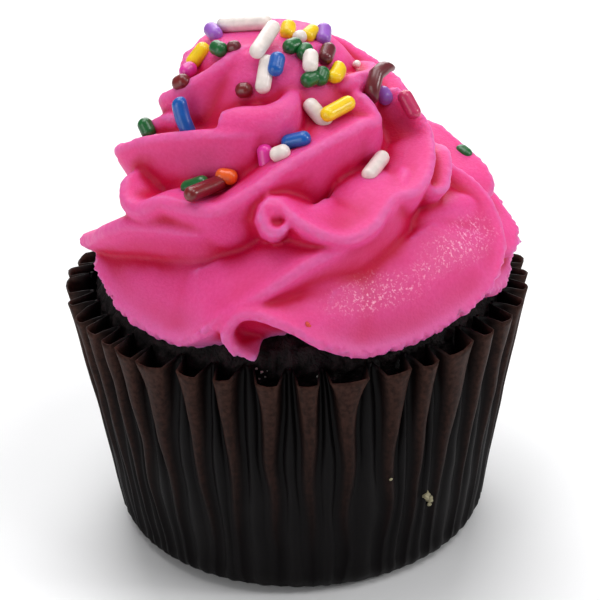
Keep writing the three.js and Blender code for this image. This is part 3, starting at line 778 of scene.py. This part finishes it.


# %% [markdown]
# ## Crests and hollows
#
# Light wanders inside icing before it comes out. In a deep groove it passes through more and more colour and
# comes out a deep red, while a thin lip looks pale. Subsurface light alone is too weak for that, so the mesh
# carries masks that paint this light and shade into the colour: painted shade, a deep red, in the hollows,
# and a painted pale sheen on the crests. Two of them come from a much smoothed copy: where the skin stands
# out from the copy there is a crest, and where it lies behind it a hollow. A narrow copy finds the lips and a
# wide one the deep folds.
#
# Stiff icing also tears as it leaves the nozzle, most of all along the low lips. Noise moves the lips in and
# out there, and bites into them from below. In a few soft patches the icing was pressed smooth, so its skin
# is drawn to the wide copy, and a third mask marks glossy patches, which get a clear coat and painted
# glints.

# %% Masks from smoothed copies
NARROW_ROUNDS, WIDE_ROUNDS = 30, 250
LIP_RELIEF, CREST_RELIEF, HOLLOW_RELIEF = (0.03, 0.15), (0.02, 0.3), (-0.2, 0.35)
TORN_FROM, TORN_TO = 41, 45
TORN_LOW, TORN_HIGH, TORN_DEPTH = 0.6, 0.2, 0.9
PALE_FROM, PALE_TO, PALE_SHARE = 44, 37, 0.5
# The first list of patches gets a glossy coat and painted glints; in the second the icing was pressed smooth.
# Patches are noted by azimuth and height of the middle, half the width and half the height.
GLOSS_AND_GLINT_PATCHES = ((-36, 46.7, 8, 2.6), (-68, 44.1, 8, 2.4), (-50, 45.4, 4, 1.5))
SOFT_PATCHES = ((-121, 43.3, 6, 4.5), (-28, 48, 4.5, 2.6), (-81, 45, 3.5, 2))


def smoothed_points(source, rounds):
    copy = source.copy()
    copy.data = source.data.copy()
    bpy.context.scene.collection.objects.link(copy)
    points = mesh_points(modified(copy, "SMOOTH", factor=0.5, iterations=rounds).data)
    bpy.data.meshes.remove(copy.data)
    return points


def relief(source, smoothed):
    """How far each vertex stands out of the smoothed copy."""
    return ((mesh_points(source.data) - smoothed) * mesh_normals(source.data)).sum(1)


def in_patches(places, azimuths, patches):
    """1 in the middle of each patch, falling to 0 just past its edge."""
    inside = np.zeros(len(places))
    for azimuth, height, half_width, half_height in patches:
        aside = np.radians(azimuths - azimuth) * np.hypot(places[:, 0], places[:, 1]) / half_width
        away = np.hypot(aside, (places[:, 2] - height) / half_height)
        inside = np.maximum(inside, smooth_step(1.2, 0.2, away))
    return inside


wide_copy = smoothed_points(icing, WIDE_ROUNDS)
narrow, wide = relief(icing, smoothed_points(icing, NARROW_ROUNDS)), relief(icing, wide_copy)
places = mesh_points(icing.data)
azimuths = np.degrees(np.arctan2(places[:, 1], places[:, 0]))
out = outward(np.stack((azimuths, places[:, 2], np.ones(len(places))), 1))
lip = smooth_step(*LIP_RELIEF, narrow)
low = smooth_step(TORN_TO, TORN_FROM, places[:, 2])
under = smooth_step(0.3, -0.3, mesh_normals(icing.data)[:, 2])
ragged = 0.5 * wander(places, 1.7, 3) + 0.8 * wander(places, 0.75, 4)
ragged *= lip * mix(TORN_HIGH, TORN_LOW, low)
tear = np.maximum(wander(places, 1.3, 3) + 0.6 * wander(places, 0.6, 4), 0)
bite = TORN_DEPTH * tear * lip * low * under
soft = in_patches(places, azimuths, SOFT_PATCHES) * smooth_step(0.2, 0.05, narrow)
places += out * ragged[:, None] + soft[:, None] * (wide_copy - places)
places[:, 2] += bite
set_mesh_points(icing.data, places)
# Painted sheen: the crest mask is raised on all the icing lower down as well, so it turns pale there too.
pale = PALE_SHARE * smooth_step(PALE_FROM, PALE_TO, places[:, 2])
set_mask(icing.data, "crest", np.maximum(smooth_step(*CREST_RELIEF, narrow), pale))
# Painted shade: this mask turns the deep folds a dark red, less so in the soft patches.
set_mask(icing.data, "hollow_shade", smooth_step(*HOLLOW_RELIEF, -wide) * (1 - 0.6 * soft))
set_mask(icing.data, "gloss_and_glint", in_patches(places, azimuths, GLOSS_AND_GLINT_PATCHES))
print("narrow relief:", np.percentile(narrow, (2, 50, 98)).round(2))
print("wide relief:", np.percentile(wide, (2, 50, 98)).round(2))


# %% Finish for the icing
def icing_finish():
    shader = Shader(
        "pink_icing", Roughness=0.5, Specular_IOR_Level=0.25, Coat_Roughness=0.2, Subsurface_Weight=0.6,
        Subsurface_Radius=(1, 0.3, 0.45), Subsurface_Scale=3.5 * MM,
    )
    tone = shader.mottled((228, 77, 148), (224, 69, 141), 2000)
    # Painted sheen: the crest mask turns the lips, and the icing lower down, pale lilac for the light that
    # comes through thin icing and shines along the lips.
    painted_sheen = shader.math("MULTIPLY", shader.mask("crest"), 0.7)
    tone = shader.blend(painted_sheen, tone, screen_colour(202, 130, 186))
    # Painted shade: the folds get a deep red where the mask is high.
    tone = shader.blend(shader.mask("hollow_shade"), tone, screen_colour(198, 2, 64))
    coarse, fine = shader.noise(shader.place, 2200, 2), shader.noise(shader.place, 4800, 4)
    grit = shader.blend(0.45, coarse, fine, "FLOAT")
    # The glossy patches get a real clear coat, and painted glints: pale flecks mixed into the base colour.
    gloss_and_glint = shader.mask("gloss_and_glint")
    glints = shader.math("MULTIPLY", shader.stretched(grit, 0.52, 0.67), gloss_and_glint)
    shader.surface(
        Base_Color=shader.blend(glints, tone, screen_colour(252, 184, 216)),
        Normal=shader.bump(shader.grain(900, 3600, 0.6), 0.4, 0.3 * MM),
        Coat_Weight=shader.math("MULTIPLY", gloss_and_glint, 0.6),
        Coat_Normal=shader.bump(grit, 0.8, 0.3 * MM),
    )
    return shader.material


finish_piece(icing, icing_finish(), "icing", "icing")


# %% [markdown]
# ## Sprinkles
#
# Sprinkles are sugar paste pressed out as a string, cut short and tumbled in a glaze, so they are rods with
# rounded ends, a few of them bent. One rod is a cone with two equal ends. Its end edges are bevelled round,
# and its sides are cut into rings, so that it can bend. Every sprinkle then starts as a copy of it.

# %% One rod
ROD_RADIUS = 1.0
ROD_SINK = 0.45
ROD_MODEL_LENGTH = 4.0
ROD_STRAIGHT = 1.2
SHORTEST_ROD = 2.2
ROD_ROUNDING = 0.88


def rod_mesh():
    bm = bmesh.new()
    size = dict(radius1=ROD_RADIUS, radius2=ROD_RADIUS, depth=ROD_MODEL_LENGTH)
    bmesh.ops.create_cone(bm, cap_ends=True, segments=14, **size)
    sides = [edge for edge in bm.edges if abs(edge.verts[0].co.z - edge.verts[1].co.z) > 1]
    bmesh.ops.subdivide_edges(bm, edges=sides, cuts=3)
    top = ROD_MODEL_LENGTH / 2 - 0.01
    ends = [edge for edge in bm.edges if all(abs(vert.co.z) > top for vert in edge.verts)]
    bmesh.ops.bevel(
        bm, geom=ends, offset=ROD_ROUNDING * ROD_RADIUS, segments=4, profile=0.5, affect="EDGES", material=-1,
        clamp_overlap=False,
    )
    return to_mesh("rod", bm)


ROD = rod_mesh()
print("one rod:", len(ROD.polygons), "faces")


# %% [markdown]
# The rods on the front are sighted: each row says how far across and up from a point on the axis the eye
# sees it, its length and its slope. A ray from the eye finds where it lies on the icing. The face that the
# ray meets gives the surface's tilt, and the rod is laid flat on it, pressed in a little. `bend` curves a rod
# and `lift` raises one that lies over another, or sinks one that is half buried. Round the back the rods
# follow a rule instead, and get fewer lower down.

# %% Rows for the sprinkles
# Rows of across, up, length and slope, and where they are needed of bend and lift
SIGHTED = dict(
    purple=((-10.4, 36.7, 3, -51), (4.5, 36, 3.4, 84), (12.6, 27.5, 2.6, -61)),
    white=(
        (-6.2, 37.4, 7.6, 2, 0, 0.3), (-3.5, 34.6, 7, 55, 0, 0.9), (-3.6, 31, 5.1, 79),
        (2.2, 32.3, 3.2, 87, 0, 0.6), (3.3, 25.4, 4.6, -51), (-1.6, 19.8, 2.6, 19), (11.2, 17.6, 5.6, 51),
        (1.2, 35.7, 1.9, 20), (8.6, 31.9, 1.1, 40),
    ),
    yellow=(
        (-0.4, 36.7, 3, 79), (2.6, 36.1, 3, 39), (-12.4, 33.7, 3.8, 51), (5.6, 30.9, 3.2, 59, 0.2, 0.3),
        (6.3, 24.8, 5.4, 27, 0, 0.9),
    ),
    green=(
        (-9.6, 34.6, 2.6, -26), (-19.7, 24.3, 2.8, -66), (0.2, 34.5, 2.7, 19), (2.4, 30.3, 2.7, 24),
        (3.8, 30.6, 2.6, 69), (-12.9, 16.6, 4, 17, 0, 0.9), (23.5, 20, 2.6, -39, 0, -1),
        (1.7, 33.9, 2.4, 59),
    ),
    magenta=((-14.3, 31.7, 2.4, 34), (-4.2, 19.8, 3.4, -83)),
    maroon=((-15.1, 30.3, 2.6, 24, 0, -0.4), (-6.4, 29, 2.2, 0), (-12.3, 14.4, 6.7, 21, 0, 0.7)),
    blue=((-13.9, 26, 5.6, -73, 0.2, 1.6), (-2.1, 32, 3.2, 77, 0, 0.7), (0.6, 21.5, 3.8, 11)),
    brown=((4.6, 33.5, 3.4, 69), (11.4, 30.1, 6.2, 60, -0.9, 0.2), (-7.8, 34.9, 1.9, 9, 0, -0.4)),
    pink=((16, 26.3, 4, -63, 0, 0.9),),
    orange=((-9.2, 17.5, 2.8, -11),),
)
SCATTERED = 14
SCATTERED_AZIMUTHS, SCATTERED_JITTER = (50, 112), 10
SCATTERED_HEIGHTS, SCATTERED_THINNING = (65, 50), 1.3
SCATTERED_LENGTHS = (3, 6.5)
SCATTERED_COLOURS = ("white", "yellow", "blue", "green", "maroon", "purple", "pink", "orange", "magenta")
GOLDEN_SHARE = 0.618
CLEARANCE = 20
SIGHT_HEIGHT, SIGHT_DISTANCE = 31.2, 260
print(sum(map(len, SIGHTED.values())), "sighted and", SCATTERED, "scattered sprinkles")


# %% Laying the rods
def surface_tree(source):
    faces = [tuple(face.vertices) for face in source.data.polygons]
    return BVHTree.FromPolygons([vert.co / MM for vert in source.data.vertices], faces)


icing_tree = surface_tree(icing)


def laid_rod(start, ray, direction, length, bend=0.0, lift=0.0):
    """The vertices of one rod, in millimetres, where a ray meets the icing."""
    hit, normal, _, _ = icing_tree.ray_cast(start, ray)
    if hit is None:
        return None
    depth = min(max(-direction.dot(normal) / ray.dot(normal), -1), 1)
    axis = (direction + ray * depth).normalized()
    side = axis.cross(normal).normalized()
    away = side.cross(axis)
    middle = hit + normal * (ROD_RADIUS - ROD_SINK + lift)
    scale = min(1, length / SHORTEST_ROD)
    stretch = (max(length, SHORTEST_ROD) - ROD_MODEL_LENGTH) / 2
    points = []
    for vert in ROD.vertices:
        x, y, z = vert.co * scale
        z += scale * stretch * min(max(vert.co.z / ROD_STRAIGHT, -1), 1)
        y += bend * (1 - 2 * (2 * z / length) ** 2)
        points.append(middle + away * x + side * y + axis * z)
    return points


def sight(across, high):
    """The eye and the way it looks at a place so far across and up, in millimetres."""
    aim = Vector((0, 0, SIGHT_HEIGHT))
    eye = aim + SIGHT_DISTANCE * back
    return eye, (aim + across * level + high * rise - eye).normalized()


def sighted_rods():
    for colour, rows in SIGHTED.items():
        for across, high, length, turn, *rest in rows:
            slope = math.radians(turn)
            direction = math.cos(slope) * level + math.sin(slope) * rise
            yield colour, laid_rod(*sight(across, high), direction, length, *rest)


def scattered_rods():
    for i in range(SCATTERED):
        azimuth = mix(*SCATTERED_AZIMUTHS, (i * GOLDEN_SHARE) % 1) + SCATTERED_JITTER * drawn(i + 200)
        height = mix(*SCATTERED_HEIGHTS, ((i + 0.5) / SCATTERED) ** SCATTERED_THINNING)
        ray = -Vector(outward([(azimuth, height, 1)])[0])
        start = Vector(on_swirl([(azimuth, height, 1)])[0]) - ray * CLEARANCE
        direction = Vector((0, 0, 1)).cross(ray).normalized()
        direction.rotate(Matrix.Rotation(math.pi * drawn(i + 300), 3, ray))
        length = mix(*SCATTERED_LENGTHS, drawn(i + 400))
        yield SCATTERED_COLOURS[i % len(SCATTERED_COLOURS)], laid_rod(start, ray, direction, length)


rods = {}
for colour, points in (*sighted_rods(), *scattered_rods()):
    if points is not None:
        rods.setdefault(colour, []).append(points)
print({colour: len(laid) for colour, laid in rods.items()})


# %% [markdown]
# ## Finish for the sprinkles
#
# Each colour is a piece of its own. The glaze is smooth but thin, so a weak clear coat lies over a body whose
# colour varies a little, with small pits where the sugar shows.

# %% Sprinkle colours and pieces
SPRINKLE_COLOURS = dict(
    white=(240, 228, 222), yellow=(252, 210, 8), blue=(0, 88, 176), green=(14, 98, 42), maroon=(118, 14, 20),
    brown=(104, 26, 36), purple=(158, 96, 198), orange=(238, 96, 20), magenta=(232, 54, 166),
    pink=(196, 44, 96),
)


def sugar_finish(name, values):
    shader = Shader(
        name, Roughness=0.34, Coat_Weight=0.25, Coat_Roughness=0.2,
        Subsurface_Weight=0.12, Subsurface_Radius=(1, 1, 1), Subsurface_Scale=0.6 * MM,
    )
    shader.surface(
        Base_Color=shader.mottled(values, [value * 0.93 for value in values], 900),
        Normal=shader.bump(shader.grain(1100, 4000, 0.3), 0.3, 0.15 * MM),
    )
    return shader.material


for colour, laid in rods.items():
    bm = bmesh.new()
    for points in laid:
        known = len(bm.verts)
        bm.from_mesh(ROD)
        bm.verts.ensure_lookup_table()
        for vert, point in zip(bm.verts[known:], points):
            vert.co = point * MM
    sprinkles = to_object(f"sprinkles_{colour}", bm)
    finish_piece(sprinkles, sugar_finish(f"{colour}_sugar", SPRINKLE_COLOURS[colour]), "icing", "icing")
bpy.data.meshes.remove(ROD)


# %% [markdown]
# ## The paper case
#
# A cupcake case is a disc of thin greaseproof paper pressed between two fluted dies. Pleats take up the paper
# that is too much: at the rim each one is a wide rounded ridge that flares, it narrows fast on its way down,
# and near the base it is only a crease. Between the ridges the cake pushes the paper out in soft bulges. So
# the case is one grid wrapped round the cake, a column for each place on a pleat and a row for each height,
# from the middle of the base out to the corner and up to the rim. The ridges on the front are noted one by
# one as an azimuth, a width at the rim and now and then a flare, and those behind follow at an even distance
# with a little wander.

# %% Pleats
SEEN_PLEATS = (
    (-158, 2.4), (-150, 2.2), (-142.5, 2.2), (-136, 2.8), (-127.5, 3.8), (-117, 2.3), (-108, 2.2),
    (-97.5, 2.3), (-88, 2.3), (-78.4, 2.6, 2.4), (-66.5, 2.8), (-58, 2.4), (-48.6, 4), (-38.5, 2.6),
    (-28.7, 3), (-19.5, 2.5),
)
BACK_PLEATS, BACK_AZIMUTHS, BACK_JITTER, BACK_WIDTHS = 24, (-11, 193.5), 1.3, (2.1, 3.6)
CREST_FOOT, CREST_GROWTH, FLARE_GROWTH, WIDEST_FLARE = 0.5, 3, 14, 0.8
FLANK, FLANK_SHARE = 1.0, 0.3
PLEAT_SWING, SWING_LENGTH = 1.9, 9
DEPTH_FOOT, DEPTH_RIM, DEPTH_GROWTH = 0.45, 3.3, 2.6


def pleat_table():
    """Rows of azimuth, width at the rim and extra flare at the rim."""
    made = list(SEEN_PLEATS)
    for i in range(BACK_PLEATS):
        azimuth = mix(*BACK_AZIMUTHS, i / (BACK_PLEATS - 1)) + BACK_JITTER * (2 * drawn(i + 10) - 1)
        made.append((azimuth, mix(*BACK_WIDTHS, drawn(i + 50) ** 2)))
    return [(*row, WIDEST_FLARE * drawn(i + 90))[:3] for i, row in enumerate(made)]


def crest_radius(height):
    """The radius over the pleats: a rounded corner, then a straight wall."""
    if height < CORNER_RADIUS:
        return BASE_RADIUS - CORNER_RADIUS + math.sqrt(CORNER_RADIUS**2 - (CORNER_RADIUS - height) ** 2)
    return mix(BASE_RADIUS, RIM_RADIUS, (height - CORNER_RADIUS) / (RIM_HEIGHT - CORNER_RADIUS))


def pleat_depth(height):
    grown = mix(DEPTH_FOOT, DEPTH_RIM, (height / RIM_HEIGHT) ** DEPTH_GROWTH)
    return grown * min(height / CORNER_RADIUS, 1)


PLEATS = pleat_table()
print(len(PLEATS), "pleats; depth half way up:", round(pleat_depth(RIM_HEIGHT / 2), 2), "mm")


# %% One row of the case
CREST_COLUMNS = (-1, -0.6, 0, 0.6, 1)
VALLEY_COLUMNS = (0, 0.12, 0.3, 0.5, 0.7, 0.88, 1)


def ring_columns(height):
    """Rows of azimuth, share of the ridge, roundness on its crest and bulge of the valley."""
    share = height / RIM_HEIGHT
    degrees = 180 / math.pi / crest_radius(height)
    placed = []
    for number, (azimuth, width, flare) in enumerate(PLEATS):
        swing = noise.noise(Vector((number * 3.7, height / SWING_LENGTH, 0))) * PLEAT_SWING * (1 - share**2)
        half = (mix(CREST_FOOT, width, share**CREST_GROWTH) + flare * share**FLARE_GROWTH) / 2 * degrees
        placed.append((azimuth + swing, half))
    columns = []
    for i, (middle, half) in enumerate(placed):
        following, next_half = placed[(i + 1) % len(placed)]
        if following < middle:
            following += 360
        columns += [(middle + half * place, 1, 1 - place**2, 0) for place in CREST_COLUMNS]
        start, end = middle + half, following - next_half
        flank = min(FLANK * degrees, (end - start) * FLANK_SHARE)
        columns.append((start + flank / 2, 0.5, 0, 0))
        for place in VALLEY_COLUMNS:
            columns.append((mix(start + flank, end - flank, place), 0, 0, math.sin(math.pi * place)))
        columns.append((end - flank / 2, 0.5, 0, 0))
    return columns


CASE_COLUMNS = len(ring_columns(10))
print("columns:", CASE_COLUMNS)


# %% The whole case
PAPER_SHOWN = 0.22
RIM_LIFT, RIDGE_DROP = 0.9, 0.7
CROWN_FOOT, CROWN_RIM, INSET = 0.08, 0.45, 0.3
FULLEST_BULGE, CRINKLE = 0.9, 0.14
WALL_STEPS = 34
CASE_HEIGHTS = [CORNER_RADIUS * (1 - math.cos(math.radians(turn))) for turn in (0, 18, 36, 54, 72, 90)]
CASE_HEIGHTS += [mix(CORNER_RADIUS, RIM_HEIGHT, step / WALL_STEPS) for step in range(1, WALL_STEPS + 1)]
BASE_SHARES = (0, 0.3, 0.6, 0.85)


def case_row(height):
    """The points of one row, and the share of the ridge for each."""
    share = height / RIM_HEIGHT
    depth = pleat_depth(height)
    fullness = min(0.5 * depth + 0.2, FULLEST_BULGE) * (1 - 0.5 * share**6)
    columns = ring_columns(height)
    row = []
    for azimuth, on_ridge, crown, bulge in columns:
        angle = math.radians(azimuth)
        lift = RIM_LIFT * noise.noise(Vector((angle * 6, 4.2, 0))) * share**6
        lift -= RIDGE_DROP * on_ridge * share**8
        crinkle = CRINKLE * noise.noise(Vector((azimuth / 5, height / 4, 2.5))) * min(1, height / 3)
        reach = crest_radius(height) - depth * (1 - on_ridge) + bulge * fullness
        reach += crown * mix(CROWN_FOOT, CROWN_RIM, share**3) - INSET + crinkle
        row.append((reach * math.cos(angle), reach * math.sin(angle), height + lift))
    return row, [on_ridge for _, on_ridge, _, _ in columns]


walls, ridges = zip(*(case_row(height) for height in CASE_HEIGHTS))
base = [[(x * share, y * share, 0) for x, y, _ in walls[0]] for share in BASE_SHARES]
case_rows = np.array([*base, *walls])
ridge_rows = np.vstack((np.zeros((len(base), CASE_COLUMNS)), ridges))
print("case rows:", len(case_rows))


# %% [markdown]
# The case's mask, 1 on the ridges and 0 in the valleys, is kept on the vertices, because the ridges are dry
# and brown and the valleys dark with butter. It is found again after the doubles are merged by each vertex's
# nearest place on the grid. A Solidify modifier gives the paper its thickness, inwards.

# %% The case's mesh
def nearest_values(mesh, places, values):
    """For each vertex the value at the nearest of the places, which are in millimetres."""
    tree = KDTree(len(places))
    for index, place in enumerate(places):
        tree.insert(place, index)
    tree.balance()
    return [values[tree.find(vert.co / MM)[1]] for vert in mesh.vertices]


WRAP_SEAM = 1e-3 * MM


def wrapped(name, rows):
    """An object of rows of points that run round the axis."""
    bm = bmesh.new()
    add_tube(bm, rows, WRAP_SEAM)
    bmesh.ops.recalc_face_normals(bm, faces=bm.faces)
    return to_object(name, bm)


paper_case = wrapped("pleated_case", case_rows)
outwards = sum(face.normal.xy.dot(face.center.xy) for face in paper_case.data.polygons)
if outwards < 0:
    paper_case.data.flip_normals()
ridge_mask = nearest_values(paper_case.data, case_rows.reshape(-1, 3), ridge_rows.ravel())
set_mask(paper_case.data, "ridge", ridge_mask)
modified(paper_case, "SOLIDIFY", thickness=PAPER_SHOWN * MM, offset=-1)
print("case:", triangles(paper_case), "triangles")


# %% Finish for the paper
def paper_finish():
    shader = Shader("greaseproof_paper", Roughness=0.5)
    height = shader.add("ShaderNodeSeparateXYZ", {"Vector": shader.place})["Z"]
    high = shader.stretched(height, 7 * MM, 34 * MM)
    dry = shader.mottled((62, 40, 34), (40, 25, 21), 1600)
    greasy = shader.mottled((8, 5, 6), (5, 3, 4), 160)
    crest = shader.math("POWER", shader.mask("ridge"), 3)
    dry_share = shader.math("MULTIPLY", crest, shader.math("POWER", high, 1.2))
    shader.surface(
        Base_Color=shader.blend(dry_share, greasy, dry),
        Specular_IOR_Level=shader.blend(shader.mask("ridge"), 0.1, 0.05, "FLOAT"),
        Normal=shader.bump(shader.grain(1400, 5000, 0.5), 0.3, 0.1 * MM),
    )
    return shader.material


finish_piece(paper_case, paper_finish(), "paper", "paper_case")


# %% [markdown]
# ## The cake
#
# Of the cake only a ring shows, between the paper and the icing: a dark, open crumb. The cake is a grid from
# the middle of its underside, up the wall and over a low dome, with its rows close together where the ring
# shows. Noise of two sizes moves that ring in and out: lumps as wide as a crumb, and the pores in between,
# which a mask darkens with painted shade.

# %% The cake's mesh
CAKE_COLUMNS = 420
CAKE_FLOOR, CAKE_FLOOR_GAP, CAKE_WALL_GAP = 0.7, 0.3, 0.9
CAKE_WALL = (CORNER_RADIUS, 10, 16, 22, 27, 30, 32, 33)
CAKE_EDGE = ((-0.05, 33.6), (0, 34.1), (0.05, 34.6), (0, 35.1), (-0.15, 35.6), (-0.45, 36.1))
CAKE_TOP_STEP, CAKE_TOP_START = 0.38, 0.6
CAKE_TOP = [CAKE_EDGE_RADIUS - CAKE_TOP_START - CAKE_TOP_STEP * step for step in range(1, 27)]
CAKE_TOP += [15.5, 13, 10, 6, 3, 0]
SHOWN_HEIGHTS, SHOWN_RADII = (32.5, 33.6), (15, 18)
CRUMB_SWELL = 0.3

floor_radius = BASE_RADIUS - CORNER_RADIUS - CAKE_FLOOR_GAP
cake_profile = [(radius, CAKE_FLOOR) for radius in (0, 12, floor_radius)]
cake_profile += [(crest_radius(height) - pleat_depth(height) - CAKE_WALL_GAP, height) for height in CAKE_WALL]
cake_profile += [(CAKE_EDGE_RADIUS + past, height) for past, height in CAKE_EDGE]
cake_profile += [(radius, cake_dome(radius)) for radius in CAKE_TOP]
angles = 2 * math.pi * np.arange(CAKE_COLUMNS) / CAKE_COLUMNS
circle = np.stack((np.cos(angles), np.sin(angles), np.ones(CAKE_COLUMNS)), 1)
cake_rows = np.array([circle * (radius, radius, height) for radius, height in cake_profile])
cake = wrapped("chocolate_cake", cake_rows)
places = mesh_points(cake.data)
shown = smooth_step(*SHOWN_HEIGHTS, places[:, 2])
shown *= smooth_step(*SHOWN_RADII, np.hypot(places[:, 0], places[:, 1]))
crumb = 0.5 * wander(places, 1.5, 1) + 0.8 * wander(places, 0.65, 2)
crumb = np.minimum(crumb, CRUMB_SWELL) * shown
set_mesh_points(cake.data, places + mesh_normals(cake.data) * crumb[:, None])
# Painted shade: the mask darkens the dips of the crumb, so only the tops stay light.
set_mask(cake.data, "pore_shade", smooth_step(-0.15, 0.1, -crumb))
print("cake:", triangles(cake), "triangles; crumb", crumb.min().round(2), "to", crumb.max().round(2), "mm")


# %% Finish for the cake
def cake_finish():
    shader = Shader("chocolate_crumb", Roughness=0.6, Specular_IOR_Level=0.25)
    tone = shader.mottled((36, 24, 26), (15, 7, 9), 700)
    shader.surface(
        # The pores get painted shade, a near black.
        Base_Color=shader.blend(shader.mask("pore_shade"), tone, screen_colour(6, 2, 3)),
        Normal=shader.bump(shader.grain(1000, 3200, 0.5), 1, 0.6 * MM),
    )
    return shader.material


finish_piece(cake, cake_finish(), "cake", "cake")


# %% [markdown]
# ## Crumbs
#
# Nothing baked is quite clean. A cream crumb shaped like a comma sticks to the paper low on the right, with a
# speck near it, a red speck sits on the icing, and some grains of sugar fell on the cake. They are sighted
# like the sprinkles: a ray from the eye finds where each one lies, and a small ball there is made uneven.

# %% Crumbs and grains
CRUMBS = (
    # name, what it lies on, its slot and node, colour, and for each crumb how far across and up, and its size
    (
        "cream_crumbs", paper_case, "paper", "paper_case", (158, 150, 118),
        ((17.1, -27.3, 1.1), (17.5, -27.8, 0.9), (17.4, -28.5, 0.6), (12.2, -25, 0.4)),
    ),
    ("red_speck", icing, "icing", "icing", (232, 84, 62), ((1.3, -3.4, 0.55), (1.6, -3.6, 0.35))),
    (
        "sugar_grains", cake, "cake", "cake", (226, 222, 216),
        (
            (-5.9, -9.3, 0.3), (-5.2, -9.8, 0.35), (-4.7, -10.5, 0.3), (-4.3, -9.6, 0.25),
            (-5.5, -10.7, 0.25), (2.5, -10.6, 0.25),
        ),
    ),
)
CRUMB_UNEVEN = 0.7


def crumb_piece(name, source, rows):
    tree = surface_tree(source)
    bm = bmesh.new()
    for across, high, size in rows:
        hit = tree.ray_cast(*sight(across, high))[0]
        if hit is None:
            continue
        made = bmesh.ops.create_icosphere(bm, subdivisions=3, radius=size / 2, matrix=Matrix.Translation(hit))
        for vert in made["verts"]:
            vert.co += (vert.co - hit) * CRUMB_UNEVEN * noise.noise(vert.co * 2 / size)
            vert.co *= MM
    return to_object(name, bm)


def crumb_finish(name, values):
    shader = Shader(name, Roughness=0.6)
    shader.surface(
        Base_Color=shader.mottled(values, [value * 0.8 for value in values], 2500),
        Normal=shader.bump(shader.grain(3000, 8000, 0.5), 0.4, 0.1 * MM),
    )
    return shader.material


for name, source, slot, node, values, rows in CRUMBS:
    finish_piece(crumb_piece(name, source, rows), crumb_finish(f"{name}_finish", values), slot, node)
